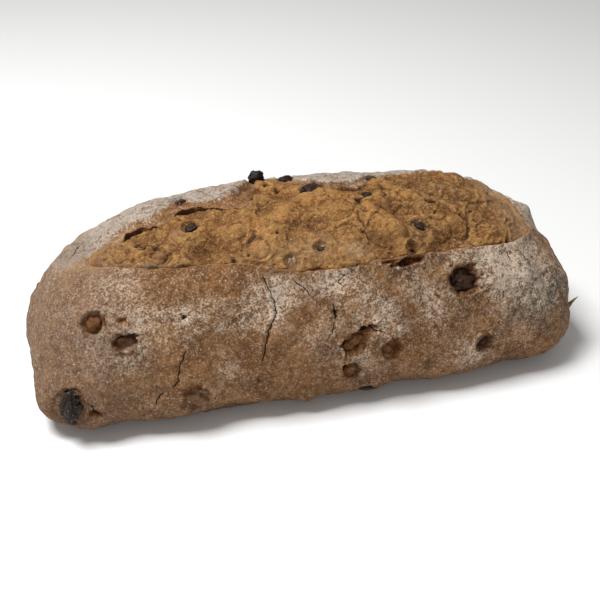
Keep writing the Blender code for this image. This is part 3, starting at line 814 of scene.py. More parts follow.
def crust_relief(form, at, pieces):
    """How far the crust stands out of the plain loaf. The grid also keeps what its marks need."""
    plain, opened = at.plain, at.opened
    rise = broad_relief(form, plain) + MM * patches(form, plain, CRUST_KNOBS)
    at.blister = layered(plain, 0.0110, 71, 3, 0.55)
    wrinkle = layered(warped(plain, 0.006, 0.002, 75), 0.0034, 78, 2, 0.55)
    rise += 0.00048 * at.blister + 0.00020 * wrinkle
    pores = cells(plain, 0.0042, 81)
    rise -= 0.00035 * (pores[2] > 0.72) * fade(pores[0], 0.10, 0.26)

    at.ledge = (at.past_back > -0.0004) * fade(at.past_rim, -0.0005, 0.0005) * opened
    lip = bell(np.minimum(at.inside, 0), 0.0032) * opened * (at.past_back < 0)
    rise += form.lip_rise * lip * (0.05 + 0.95 * smooth(at.long, -0.085, -0.02))
    rise += at.ledge * (0.00070 * layered(plain, 0.0036, 87, 2) - 0.0002)
    rise += 0.0007 * bell(at.past_rim - 0.0012, 0.0016) * opened
    at.behind = between(at.past_rim, 0.0, 0.002, 0.020, 0.040) * opened
    folds = np.abs(layered(warped(plain, 0.007, 0.0030, 72), 0.0062, 73, 2, 0.6))
    rumpled = 0.00055 * smooth(folds, 0, 0.22) + 0.00045 * layered(plain, 0.0090, 74, 2)
    rise += at.behind * (rumpled - 0.0003)
    torn = bell(np.minimum(at.inside, 0), 0.0045) * opened
    rise += torn * (0.00040 * grain(plain, 0.0045, 84) + 0.00022 * grain(plain, 0.0019, 85))
    hump = bell(np.maximum(at.past_back, 0), 0.010) * opened * (at.past_back > 0)
    rise += hump * 0.00050 * grain(plain, 0.0080, 86)

    dents, at.near = round_pieces(plain, at.normals, pieces)
    torn_rise, at.pit, at.edge = torn_pits(form, plain)
    rise += dents + torn_rise
    crack, depth = crack_field(form, plain, at.normals, CRUST_CRACKS, 500)
    at.depth = np.minimum(depth, DEEPEST_CRACK)
    at.crack = np.sign(crack) * np.maximum(np.abs(crack) - 0.0006 * np.maximum(at.depth - 1, 0), 0)
    rise -= form.crack_depth * at.depth * bell(at.crack, 0.00055)
    rise += 0.00018 * at.depth * bell(np.abs(at.crack) - 0.0014, 0.0009)
    return rise - form.opening_depth * smooth(at.inside, -0.0001, 0.0016) * opened


def mark_crust(form, at, mesh):
    """Keeps on the crust's mesh where it is floured, browned, torn and cracked, and where painted shade lies:
    in deep pits, on torn walls, round the pieces and towards the base.
    """
    plain, long, opened = at.plain, at.long, at.opened
    low = np.minimum(smooth(at.angle, -34, 18), fade(at.angle, 160, 205))
    cover = 0.26 + patches(form, plain, FLOUR_PATCHES)
    cover += 0.10 * layered(plain, 0.017, 91, 2) + 0.10 * layered(plain, 0.0050, 93, 2)
    cover = cover * (0.10 + 0.90 * low) - 0.05
    rim = smooth(at.past_rim + 0.0004 * at.blister, -0.0009, 0.0012)
    rim = rim * fade(at.past_rim + 0.012 * layered(plain, 0.0140, 90, 3, 0.6), 0.014, 0.050)
    drift = long + 0.010 * layered(plain, 0.0120, 89, 3, 0.6)
    rim = rim * between(drift, -0.112, -0.096, 0.100, 0.120)
    before = np.minimum(at.past_front, 0)
    bare = bell(before, 0.0035) * opened
    bare = bare * (1 - 0.65 * smooth(long, -0.020, 0.000)) * smooth(long, -0.072, -0.055)
    cover += rim * (1.25 + 0.70 * at.blister)
    cover += 0.12 * at.edge - 0.45 * bare - 0.25 * at.near - 0.6 * at.pit
    cover += 0.14 * at.ledge * (1 - 2.0 * np.clip(layered(plain, 0.0060, 88, 2), -0.4, 1))

    golden = 0.90 * bell(before, 0.0045) * between(long, -0.108, -0.098, -0.092, -0.080) * (at.past_back < 0)
    ledges = between(long, -0.106, -0.100, -0.078, -0.070)
    ledges += 0.7 * between(long, -0.034, -0.024, -0.014, -0.006)
    golden += ledges * bell(np.maximum(at.past_back, 0), 0.0040) * (at.past_back > 0) * (1 - rim)
    golden = golden * np.clip(0.80 + 0.5 * layered(plain, 0.006, 96, 2), 0, 1)
    golden += smooth(at.inside, -0.0003, 0.0003) * opened
    # Painted shade on the crust's walls where the crumb tore away from the back ledge and from the front lip;
    # through the pit colours it comes out near black.
    back_wall_shade = split_share(at.x)[:, None] * between(-at.past_back, -0.0003, 0.0003, 0.004, 0.006)
    front_wall_shade = front_gape(at.x)[:, None] * between(at.past_front, -0.0002, 0.0003, 0.004, 0.006)
    pit = np.maximum(np.maximum(at.pit, 1.8 * back_wall_shade), 1.15 * front_wall_shade)
    warm = patches(form, plain, WARM_PATCHES) + 0.4 * at.near + 0.5 * bare + 0.15 * at.ledge
    for name, values, at_ends in (
        ("flour", np.clip(cover, 0, 1.7), 0.2),
        ("rim", np.clip(rim, 0, 1), 0),
        ("warm", np.clip(warm, 0, 1), 0),
        ("grey", np.clip(patches(form, plain, GREY_PATCHES), 0, 1), 0),
        ("veil", 0.55 * fade(plain[..., 0], -0.100, -0.064) * (1 - at.behind), 0),
        ("golden", np.clip(golden, 0, 1), 0),
        # Painted shadow: a dark ring round each raisin and walnut piece.
        ("edge", at.near, 0),
        # The pit stain, with painted shade where it passes about 0.75 and on the torn walls.
        ("pit", np.clip(pit, 0, 1.8), 0),
        ("crack", at.crack / MM, 9),
        ("crack_depth", at.depth, 0),
        # Painted shade, darker towards the base.
        ("low", 1 - low, 1),
    ):
        store(mesh, name, values, at_ends)


def make_crust(form, pieces, material):
    """The crust: the plain loaf with its relief, cracks, pockets, and the opening that the crumb fills."""
    at = CrustGrid(form)
    rise = crust_relief(form, at, pieces) * smooth(at.plain[..., 2], 0.0003, 0.0055)
    points = at.plain + at.normals * rise[..., None]
    points[..., 2] = np.maximum(points[..., 2], corner_lift(points))
    left, right = [np.array([side * form.length / 2, 0, form.widest_level]) for side in (-1, 1)]
    mesh = closed_grid("loaf_crust", points, left, right)
    mark_crust(form, at, mesh)
    return add_piece("loaf_crust", mesh, material, ["loaf"])


# The crumb

CRUMB_STATIONS = 440
CRUMB_TOP_ROWS = 200
CRUMB_UNDER_ROWS = 12
CRUMB_TUCK = 0.0026
CRUMB_ENDS = (-0.0975, 0.1045)
CRUMB_EVENNESS = 0.85
CRUMB_BOTTOM = -0.0034
LEAST_HALF_WIDTH = 0.0004
UNDER_DEPTH = 0.0085


class CrumbGrid:
    """Where the points of the crumb's top lie: on the plain loaf, and past the burst's two edges."""

    def __init__(self, form):
        angles, run = arc_table(form)
        start, end = CRUMB_ENDS
        even = np.linspace(0, 1, CRUMB_STATIONS + 2)[1:-1]
        eased = (1 - np.cos(math.pi * even)) / 2
        self.x = start + (end - start) * (CRUMB_EVENNESS * even + (1 - CRUMB_EVENNESS) * eased)
        front, back = burst_edges(form, self.x)
        tuck = CRUMB_TUCK * smooth(np.minimum(self.x - start, end - self.x), 0, 0.004)
        low, high = (front - tuck)[:, None], (back + tuck)[:, None]
        middle = (low + high) / 2
        self.low = np.minimum(low, middle - LEAST_HALF_WIDTH)
        self.high = np.maximum(high, middle + LEAST_HALF_WIDTH)
        rows = self.low + (self.high - self.low) * np.linspace(0, 1, CRUMB_TOP_ROWS)[None]
        angle = np.interp(rows, run, angles)
        share = self.x[:, None] / (form.length / 2) + 0 * angle
        self.plain = plain_loaf(form, share, angle)
        self.normals = outward(form, share, angle)
        self.front_gap = rows - front[:, None]
        self.back_gap = back[:, None] - rows
        self.split = split_share(self.x)[:, None]
        self.long = self.x[:, None] + 0 * rows


def bubbles(form, plain):
    """The bubbles' relief, how much browner they make the crumb as painted shade in the groove round each and
    in hollow ones, paler on domes as painted light, and where their skin lies smooth.
    """
    rise, brown, skin = np.zeros((3, *plain.shape[:-1]))
    uneven = 1 + 0.20 * grain(plain, 0.0060, 127) + 0.07 * grain(plain, 0.0020, 128)
    broken = np.clip(0.75 + 1.1 * grain(plain, 0.0050, 129), 0, 1)
    for x, angle, radius, height in CRUMB_BUBBLES:
        reach = distance_to(form, plain, x, angle) * uneven
        radius = radius * MM
        clear = broken * min(1, abs(height))
        rise += 0.75 * MM * height * fade(reach, 0.15 * radius, radius)
        rise += 0.00030 * bell(reach - radius - 0.0012, 0.0007)
        rise -= 0.00045 * clear * bell(reach - radius, 0.0006)
        # Painted shade: a dark ring in the groove round each bubble and a browner hollow bubble; domes get
        # paler as painted light.
        brown += 0.95 * clear * bell(reach - radius, 0.0008) - 0.22 * np.sign(height) * fade(reach, 0, radius)
        skin = np.maximum(skin, fade(reach, 0.7 * radius, 0.95 * radius))
    return rise, brown, skin


def crumb_relief(form, at, pieces):
    """How far the crumb stands out of the plain loaf. The grid also keeps what its marks need."""
    plain, long = at.plain, at.long
    right = smooth(long, 0.022, 0.044) * (1 - 0.7 * smooth(long, 0.062, 0.086))
    left = fade(long, -0.060, -0.044)
    swirl = warped(plain, 0.0085, 0.0042, 101)
    strand = 1 - np.abs(layered(swirl * np.array([0.6, 1, 1]), 0.0042, 104, 2, 0.6))
    fibre = 1 - np.abs(layered(warped(plain, 0.0035, 0.0016, 107), 0.0017, 110, 2, 0.6))
    lump = cells(warped(plain, 0.009, 0.0034, 113), 0.0092, 116)
    trough = fade(lump[1] - lump[0], 0.01, 0.20)
    small = cells(warped(plain, 0.004, 0.0012, 118), 0.0046, 119)
    holes = cells(plain, 0.0026, 121)
    torn = 0.30 + 0.70 * np.maximum(right, 0.7 * left)
    fine = 0.00046 * (strand - 0.7) * (1 - 0.3 * right) + 0.00026 * (fibre - 0.7)
    fine += 0.00070 * layered(plain, 0.0085, 124, 3, 0.55) * (1 + 0.3 * left)
    fine += torn * 0.00060 * (small[0] - 0.45)
    fine -= 0.00050 * (holes[2] > 0.80) * fade(holes[0], 0.08, 0.30)

    swell = patches(form, plain, CRUMB_SWELLS) + waves(plain, 0.017, 8)
    bubble, browned, skin = bubbles(form, plain)
    body = broad_relief(form, plain) + MM * swell - form.crumb_drop + bubble
    body += torn * (0.00080 * fade(lump[0], 0.05, 0.75) - 0.00050 * trough)
    # Browner in the troughs between lumps as painted shade, paler where swells rise as painted light, a random
    # tone for each lump, and the bubbles' painted shade.
    at.folded = torn * (0.90 * trough + 0.80 * (lump[2] - 0.5)) + browned - 0.20 * swell
    body += 0.0007 * smooth(at.front_gap, 0.0, 0.007)
    body += 0.0009 * fade(at.back_gap, 0.003, 0.012) * (1 - 0.6 * at.split)
    body += fade(at.front_gap, 0.0005, 0.0060) * (0.0009 * smooth(long, -0.030, -0.018) + 0.0002)

    dents, at.near = round_pieces(plain, at.normals, pieces)
    at.crease, at.depth = crack_field(form, plain, at.normals, CRUMB_CREASES, 700)
    body += dents - 0.0015 * np.maximum(at.depth, 0) * bell(at.crease, 0.00075)
    at.fine = fine * (1 - 0.45 * skin) - 0.0011 * np.minimum(at.depth, 0) * bell(at.crease, 0.00065)
    at.hole = np.zeros(plain.shape[:-1])
    uneven = (1 + 0.25 * grain(plain, 0.0016, 126)) / MM
    for x, angle, radius, depth in CRUMB_HOLES:
        reach = distance_to(form, plain, x, angle) * uneven
        body -= depth * MM * bell(reach, radius)
        at.hole = np.maximum(at.hole, fade(reach, 0.6 * radius, 1.15 * radius))
    return body + at.fine


def mark_crumb(form, at, rise, mesh):
    """Keeps on the crumb's mesh where it is browned, torn and dusted, and where painted shade lies in its
    hollows, crevice and holes and painted highlight on its ridges.
    """
    plain, long = at.plain, at.long
    brown = 0.10 + 0.50 * smooth(long, 0.020, 0.060) + 0.40 * layered(plain, 0.012, 141, 2)
    brown += patches(form, plain, CRUMB_BROWNED) + at.folded
    # Painted shade in the crevice where the crumb tore from the back ledge.
    crevice = 1.3 * bell(np.maximum(at.back_gap, 0), 0.0013) * np.clip(1.6 * at.split, 0, 1)
    # The relief's height over its nearby average, which paints shade into hollows and highlight onto ridges.
    cavity = 0.5 * (rise - blurred(rise, 4)) / 0.00022 + 0.5 * (rise - blurred(rise, 10)) / 0.00050
    faded = 0.28 * fade(long + 0.004 * grain(plain, 0.012, 143), -0.088, -0.068)
    faded += 0.60 * smooth(long + 0.004 * grain(plain, 0.009, 144), 0.074, 0.100)
    joined = fade(long + 0.006 * grain(plain, 0.010, 146), -0.064, -0.050)
    joined = joined * fade(at.front_gap + 0.0024 * grain(plain, 0.0050, 147), -0.0010, 0.0052)
    films = patches(form, plain, CRUMB_FILMS) * np.clip(0.9 + 0.6 * layered(plain, 0.0024, 145, 2), 0, 1)
    for name, values, at_ends in (
        # Painted shade and highlight from the fine relief.
        ("fine", np.clip(0.55 * at.fine / 0.0008 + 0.60 * cavity, -1, 1), 0),
        ("brown", np.clip(brown, -0.6, 1.8), 0),
        ("shade", np.clip(crevice + 0.25 * at.near + 0.95 * at.hole, 0, 1), 0),
        ("crack", at.crease / MM, 9),
        ("crack_depth", at.depth, 0),
        ("dust", np.clip(faded + films, 0, 0.85), 0),
        ("crusty", 0.75 * joined, 0),
    ):
        store(mesh, name, np.pad(values, ((0, 0), (0, CRUMB_UNDER_ROWS))), at_ends)


def make_crumb(form, pieces, material):
    """The crumb: a lens that fills the burst and tucks in under the crust's lips all round."""
    at = CrumbGrid(form)
    rise = crumb_relief(form, at, pieces)
    start, end = CRUMB_ENDS
    gape = front_gape(at.x)[:, None]
    soft = 0.0006 * fade(at.x, -0.085, -0.070)[:, None]
    open_back = smooth(at.back_gap, -0.0020 + 0.0021 * at.split, 0.0007 + 0.0013 * at.split)
    open_front = smooth(at.front_gap, -0.0020 - soft + 0.0021 * gape, 0.0007 - soft + 0.0010 * gape)
    tips = (smooth(at.x - start, 0.0, 0.010) * smooth(end - at.x, 0.0, 0.010))[:, None]
    height = CRUMB_BOTTOM + (rise - CRUMB_BOTTOM) * np.minimum(open_front, open_back) * tips
    top = at.plain + at.normals * height[..., None]

    angles, run = arc_table(form)
    under = np.linspace(0, 1, CRUMB_UNDER_ROWS + 2)[None, 1:-1]
    angle = np.interp(at.high + (at.low - at.high) * under, run, angles)
    share = at.x[:, None] / (form.length / 2) + 0 * angle
    deep = CRUMB_BOTTOM - (UNDER_DEPTH + CRUMB_BOTTOM) * np.sin(math.pi * under) * tips - 0.0002
    underside = plain_loaf(form, share, angle) + outward(form, share, angle) * deep[..., None]
    grid = np.concatenate([top, underside], axis=1)
    mesh = closed_grid("loaf_crumb", grid, grid[0].mean(axis=0), grid[-1].mean(axis=0))
    mark_crumb(form, at, rise, mesh)
    return add_piece("loaf_crumb", mesh, material, ["loaf"])


# Raisins and walnut pieces

PIECE_STATIONS = 46
PIECE_ROWS = 64


def piece_directions():
    """Unit directions over a ball from pole to pole along X, as stations and rows."""
    polar = np.linspace(0, math.pi, PIECE_STATIONS + 2)[1:-1, None]
    around = np.linspace(0, 2 * math.pi, PIECE_ROWS + 1)[None, :-1]
    return np.stack([
        np.cos(polar) + 0 * around,
        np.sin(polar) * np.cos(around),
        np.sin(polar) * np.sin(around),
    ], axis=-1)


def raisin_radius(unit, seed):
    """A raisin's radius by direction: deep folds that run lengthwise and meet, fine creases, flat dents."""
    drawn = warped(unit * np.array([0.5, 1, 1]), 0.7, 0.30, seed)
    folds = np.abs(layered(drawn, 0.70, seed + 3, 2, 0.5))
    creases = np.abs(grain(warped(unit, 0.5, 0.12, seed + 6), 0.26, seed + 9))
    dents = layered(unit, 1.2, seed + 12, 2, 0.5)
    radius = 0.80 + 0.55 * np.minimum(folds, 0.42) - 0.10 * fade(creases, 0, 0.22) + 0.24 * dents
    return np.maximum(radius, 0.45), folds


def walnut_radius(unit, seed):
    """A broken walnut piece's radius by direction: blunt lobes, a crease between them, and chipped faces."""
    lobes = layered(unit, 0.9, seed, 2, 0.5)
    chips = cells(unit, 0.75, seed + 4)
    crease = bell(unit[..., 0] + 0.25 * unit[..., 1] + 0.15 * grain(unit, 0.8, seed + 7), 0.16)
    veins = np.abs(grain(unit, 0.42, seed + 9))
    radius = 0.90 + 0.16 * lobes + 0.22 * (chips[0] - 0.5) - 0.16 * crease
    return np.maximum(radius - 0.03 * fade(veins, 0, 0.2), 0.5), veins


def make_piece(seat, radius_of, seed, material):
    """One raisin or walnut piece in its seat, with numbers for how dusty and how warm it is."""
    unit = piece_directions()
    radius, folds = radius_of(unit, seed)
    grid = unit * radius[..., None]
    poles = np.array([[1.0, 0, 0], [-1.0, 0, 0]])
    poles = poles * radius_of(poles, seed)[0][:, None]
    turn = seat.axes * (seat.half / np.abs(grid.reshape(-1, 3)).max(axis=0))
    name = seat.name + "_skin"
    first, last = poles @ turn.T + seat.middle
    mesh = closed_grid(name, grid @ turn.T + seat.middle, first, last)
    dusty, warmth = PIECE_LOOKS.get(seat.name, OTHER_LOOKS)
    store(mesh, "folds", np.clip(folds, 0, 1))
    store(mesh, "dusty", 0 * folds + dusty, dusty)
    store(mesh, "warmth", 0 * folds + warmth, warmth)
    return add_piece(name, mesh, material, [seat.name])


# The thorn: the bent tip of a torn flake at the right end

THORN_FOOT = (115, 12)
THORN_LENGTH = 0.0060
THORN_RADIUS = 0.0010
THORN_BEND = 0.0010
THORN_TURN = (0.62, 0.10, 0.78)
THORN_STATIONS = 40
THORN_ROWS = 20


def make_thorn(form, material):
    """A thin bent cone that starts inside the crust; its radius swells and shrinks a little on the way."""
    foot, normal = place(form, *THORN_FOOT)
    reach = np.array(THORN_TURN)
    reach = reach / np.linalg.norm(reach)
    side = np.cross(reach, normal)
    side = side / np.linalg.norm(side)
    over = np.cross(side, reach)
    run = np.linspace(-0.35, 0.98, THORN_STATIONS)[:, None, None]
    around = np.linspace(0, 2 * math.pi, THORN_ROWS + 1)[None, :-1, None]
    radius = THORN_RADIUS * np.minimum(1 - np.clip(run, 0, 1), 1) ** 0.8
    ring = np.cos(around) * side * 0.6 + np.sin(around) * over
    spine = foot + run * THORN_LENGTH * reach + THORN_BEND * run**2 * over
    grid = spine + ring * radius
    grid = grid + 0.00010 * grain(grid, 0.0015, 171)[..., None] * ring
    mesh = closed_grid("thorn", grid, spine[0, 0], spine[-1, 0] + 0.0003 * reach)
    level = np.zeros(grid.shape[:-1])
    for name, value in (("flour", 0.1), ("warm", 0.4), ("crack", 9.0)):
        store(mesh, name, level + value, value)
    return add_piece("thorn", mesh, material, ["loaf"])


# Materials

CRUST_GREY = (0.125, 0.104, 0.078)
CRUST_SPOT = (0.125, 0.106, 0.080)
CRUST_VEIL = (0.225, 0.140, 0.092)
CRUST_VEIN = (0.200, 0.125, 0.080)
CRUST_PALE = (0.60, 0.45, 0.31)
CRUST_SHADED = (0.105, 0.052, 0.026)
CRUST_CRUMBS = (0.72, 0.58, 0.42)
CRUST_BURNT = (0.055, 0.024, 0.012)
CRUST_GOLDEN = (0.460, 0.275, 0.140)
# Painted shadow round the pieces.
CRUST_EDGE_SHADOW = (0.070, 0.026, 0.009)
# Painted shade towards the base.
CRUST_LOW_SHADE = (0.105, 0.048, 0.022)
PIT_RIM = (0.270, 0.102, 0.026)
# Painted shade in deep pits and torn gaps.
PIT_SHADE = (0.024, 0.009, 0.004)
CRUMB_DEEPER = (0.105, 0.038, 0.011)
CRUMB_PALER = (0.620, 0.260, 0.065)
CRUMB_FIBRE = (0.600, 0.340, 0.115)
# Painted glints on the crumb.
CRUMB_GLINT = (0.80, 0.52, 0.24)
CRUMB_DUST = (0.52, 0.33, 0.175)
CRUSTY_DARK = (0.235, 0.122, 0.056)
CRUSTY_PALE = (0.500, 0.350, 0.230)
CRUMB_SHADE = (0.022, 0.009, 0.004)
# Painted shade in the crumb's creases.
CRUMB_CREASE_SHADE = (0.045, 0.020, 0.009)
# Painted shade in a raisin's creases.
RAISIN_FOLD_SHADE = (0.006, 0.004, 0.003)
RAISIN_SPECK = (0.36, 0.33, 0.28)
WALNUT_VEIN = (0.060, 0.022, 0.010)
WALNUT_FLECK = (0.46, 0.24, 0.09)
WALNUT_DUST = (0.46, 0.37, 0.28)
PAPER_PALE = (0.80, 0.80, 0.80)


class Nodes:
    """Builds a material's nodes and paints its colour in layers. A string stands for a stored number."""

    def __init__(self, name, colour):
        self.material = bpy.data.materials.new(name)
        self.material.use_nodes = True
        self.tree = self.material.node_tree
        self.shader = self.tree.nodes["Principled BSDF"]
        self.place = self.add("ShaderNodeTexCoord").outputs["Object"]
        self.colour = colour

    def add(self, kind, **settings):
        made = self.tree.nodes.new(kind)
        for name, value in settings.items():
            setattr(made, name, value)
        return made

    def feed(self, socket, value):
        if isinstance(value, str):
            value = self.add("ShaderNodeAttribute", attribute_name=value).outputs["Fac"]
        if isinstance(value, bpy.types.NodeSocket):
            self.tree.links.new(value, socket)
        elif isinstance(value, (int, float)):
            socket.default_value = value
        else:
            socket.default_value = (*value, 1.0)

    def noise(self, scale, detail=3.0, roughness=0.55, distortion=0.0):
        made = self.add("ShaderNodeTexNoise")
        self.feed(made.inputs["Vector"], self.place)
        self.feed(made.inputs["Scale"], scale)
        self.feed(made.inputs["Detail"], detail)
        self.feed(made.inputs["Roughness"], roughness)
        self.feed(made.inputs["Distortion"], distortion)
        return made.outputs["Fac"]

    def ridged(self, middle, *noise):
        return self.math("ABSOLUTE", self.math("SUBTRACT", self.noise(*noise), middle))

    def dots(self, scale, reach, picks):
        made = self.add("ShaderNodeTexVoronoi")
        self.feed(made.inputs["Vector"], self.place)
        self.feed(made.inputs["Scale"], scale)
        near = self.span(made.outputs["Distance"], *reach, 1.0, 0.0)
        return self.times(near, self.span(made.outputs["Color"], *picks))

    def math(self, operation, first, second=0.0):
        made = self.add("ShaderNodeMath", operation=operation)
        self.feed(made.inputs[0], first)
        self.feed(made.inputs[1], second)
        return made.outputs[0]

    def times(self, first, second):
        return self.math("MULTIPLY", first, second)

    def plus(self, first, second):
        return self.math("ADD", first, second)

    def span(self, value, low, high, out_low=0.0, out_high=1.0):
        made = self.add("ShaderNodeMapRange", interpolation_type="SMOOTHSTEP")
        self.feed(made.inputs["Value"], value)
        self.feed(made.inputs["From Min"], low)
        self.feed(made.inputs["From Max"], high)
        self.feed(made.inputs["To Min"], out_low)
        self.feed(made.inputs["To Max"], out_high)
        return made.outputs["Result"]

    def mix(self, share, first, second):
        made = self.add("ShaderNodeMix", data_type="RGBA")
        self.feed(made.inputs[0], share)
        self.feed(made.inputs[6], first)
        self.feed(made.inputs[7], second)
        return made.outputs[2]

    def paint(self, share, colour):
        self.colour = self.mix(share, self.colour, colour)

    def bump(self, height, distance, strength=1.0, under=None):
        made = self.add("ShaderNodeBump")
        self.feed(made.inputs["Height"], height)
        self.feed(made.inputs["Distance"], distance)
        self.feed(made.inputs["Strength"], strength)
        if under:
            self.feed(made.inputs["Normal"], under)
        return made.outputs["Normal"]

    def finish(self, roughness, normal, specular):
        self.feed(self.shader.inputs["Base Color"], self.colour)
        self.feed(self.shader.inputs["Roughness"], roughness)
        self.feed(self.shader.inputs["Normal"], normal)
        self.shader.inputs["Specular IOR Level"].default_value = specular
        return self.material


def crust_material(look):
    """Baked crust under flour: browns that drift, grains of flour where it lies, dark cracks and pits whose
    darkness is painted shade, and painted shade round the pieces and towards the base.
    """
    made = Nodes("floured_crust", look.deep)
    broad = made.noise(95, 5, 0.62)
    fine = made.noise(380, 5, 0.68)
    grit = made.noise(1300, 4, 0.72)
    made.paint(made.span(broad, 0.30, 0.66, 0.20, 1.0), look.tan)
    made.paint(made.span(fine, 0.36, 0.64, 0.30, 0.0), look.deep)
    made.paint(made.times("warm", made.span(fine, 0.30, 0.62, 1.0, 0.45)), look.warm)
    grey = made.times("grey", made.span(made.noise(260, 3), 0.42, 0.58, 0.0, 0.9))
    made.paint(grey, CRUST_GREY)

    cover = made.math("SUBTRACT", "flour", made.times(grey, 0.45))
    strength = made.span("flour", 0.10, 0.80, 1.5, 4.2)
    mottle = made.times(made.plus(fine, -0.5), strength)
    speck = made.times(made.plus(grit, -0.5), made.plus(strength, 1.6))
    dusted = made.span(made.plus(made.plus(cover, mottle), speck), -0.05, 1.20, 0.0, 0.92)
    made.paint(dusted, made.mix("rim", look.flour, look.rim_flour))
    made.paint("veil", CRUST_VEIL)
    veins = made.ridged(0.5, 115, 5, 0.62, 1.3)
    made.paint(made.times(made.span(veins, 0.0, 0.026, 0.80, 0.0), "rim"), CRUST_VEIN)

    peppered = made.noise(1050, 4, 0.74)
    made.paint(made.span(peppered, 0.53, 0.68, 0.0, 0.60), CRUST_PALE)
    shaded = made.span(peppered, 0.33, 0.47, 0.78, 0.0)
    made.paint(made.times(shaded, made.span("rim", 0.0, 1.0, 1.0, 0.45)), CRUST_SHADED)
    spots = made.times("grey", made.span(made.noise(330, 2, 0.5), 0.50, 0.60))
    made.paint(made.times(spots, 0.62), CRUST_SPOT)
    made.paint(made.times(made.dots(620, (0.14, 0.28), (0.68, 0.72)), 0.6), CRUST_CRUMBS)
    made.paint(made.times(made.dots(520, (0.14, 0.32), (0.62, 0.66)), 0.6), CRUST_BURNT)

    made.paint(made.times("golden", made.span(fine, 0.25, 0.60, 0.95, 0.55)), CRUST_GOLDEN)
    pit = made.times("pit", made.span(fine, 0.30, 0.65, 1.0, 0.70))
    made.paint(made.math("MINIMUM", pit, 0.95), PIT_RIM)
    # Painted shade, near black, where the pit stain passes about 0.75 and on the torn walls.
    made.paint(made.span(pit, 0.75, 1.10, 0.0, 0.92), PIT_SHADE)
    # Painted shadow: a dark ring round each raisin and walnut piece.
    made.paint(made.times("edge", made.span(fine, 0.35, 0.60, 0.75, 0.30)), CRUST_EDGE_SHADOW)
    # Painted shade: the crust darker towards the base.
    made.paint(made.times("low", 0.3575), CRUST_LOW_SHADE)
    # Painted shade inside the cracks.
    crack = made.span(made.math("ABSOLUTE", "crack"), 0.14, 0.36, 1.0, 0.0)
    made.paint(made.times(crack, made.span("crack_depth", 0.02, 0.45)), look.crack)

    normal = made.bump(broad, 0.0020, 0.7)
    normal = made.bump(fine, 0.0018, 1.0, normal)
    normal = made.bump(grit, 0.00065, 1.0, normal)
    rough = made.span(dusted, 0.0, 1.0, look.roughness - 0.12, look.roughness + 0.08)
    return made.finish(rough, normal, 0.12)


def crumb_material(look):
    """Torn crumb: golden to brown, with painted shade in hollows, creases, holes and the crevice, pale along
    strands and ridges partly as painted highlight, and painted glints.
    """
    made = Nodes("torn_crumb", look.golden)
    broad = made.noise(110, 4)
    strands = made.noise(230, 6, 0.66, 2.2)
    threads = made.ridged(0.5, 270, 3, 0.50, 3.0)
    veins = made.ridged(0.52, 150, 5, 0.60, 2.0)
    fibres = made.ridged(0.5, 560, 3, 0.60, 2.6)
    slits = made.ridged(0.53, 430, 4, 0.62, 2.2)
    grit = made.noise(1000, 5, 0.74)
    made.paint(made.span(broad, 0.34, 0.68, 0.0, 0.45), look.ridge_highlight_and_tone)
    # The stored brown is real browning together with painted shade in troughs, bubble grooves and hollows, and
    # paler painted light on domes and swells.
    made.paint("brown", look.brown)
    made.paint(made.plus("brown", -0.9), CRUMB_DEEPER)
    made.paint(made.times("brown", -1.0), CRUMB_PALER)

    # Painted shade in the relief's hollows, from the stored fine relief, together with dark streaks of the
    # grain.
    hollow_shade_and_grain = made.plus(made.span("fine", -0.7, 0.0, 0.90, 0.0), made.span(strands, 0.34, 0.48, 0.75, 0.0))
    hollow_shade_and_grain = made.plus(hollow_shade_and_grain, made.span(veins, 0.0, 0.022, 0.60, 0.0))
    made.paint(made.math("MINIMUM", hollow_shade_and_grain, 0.88), look.hollow_shade_and_grain)
    # Painted highlight on the relief's ridges, from the stored fine relief, together with pale strands and
    # threads.
    ridge_highlight_and_tone = made.plus(made.span("fine", 0.10, 0.9, 0.0, 0.45), made.span(strands, 0.53, 0.66, 0.0, 0.75))
    ridge_highlight_and_tone = made.plus(ridge_highlight_and_tone, made.span(threads, 0.0, 0.024, 0.70, 0.0))
    made.paint(made.math("MINIMUM", ridge_highlight_and_tone, 0.85), look.ridge_highlight_and_tone)
    made.paint(made.span(slits, 0.0, 0.030, 0.90, 0.0), look.hollow_shade_and_grain)
    made.paint(made.span(fibres, 0.0, 0.028, 0.60, 0.0), CRUMB_FIBRE)
    # Painted glints: tiny bright specks.
    made.paint(made.span(grit, 0.56, 0.68, 0.0, 0.75), CRUMB_GLINT)
    made.paint(made.span(grit, 0.33, 0.45, 0.65, 0.0), look.hollow_shade_and_grain)

    made.paint("dust", CRUMB_DUST)
    made.paint("crusty", made.mix(made.span(grit, 0.40, 0.62), CRUSTY_DARK, CRUSTY_PALE))
    made.paint("shade", CRUMB_SHADE)
    # Painted shade in the creases.
    crack = made.span(made.math("ABSOLUTE", "crack"), 0.18, 0.60, 1.0, 0.0)
    made.paint(made.times(crack, made.span("crack_depth", 0.05, 0.8, 0.0, 0.9)), CRUMB_CREASE_SHADE)
    normal = made.bump(grit, 0.00045, 1.0, made.bump(strands, 0.0024, 1.0))
    rough = made.span(strands, 0.3, 0.7, look.roughness - 0.08, look.roughness + 0.10)
    return made.finish(rough, normal, 0.25)


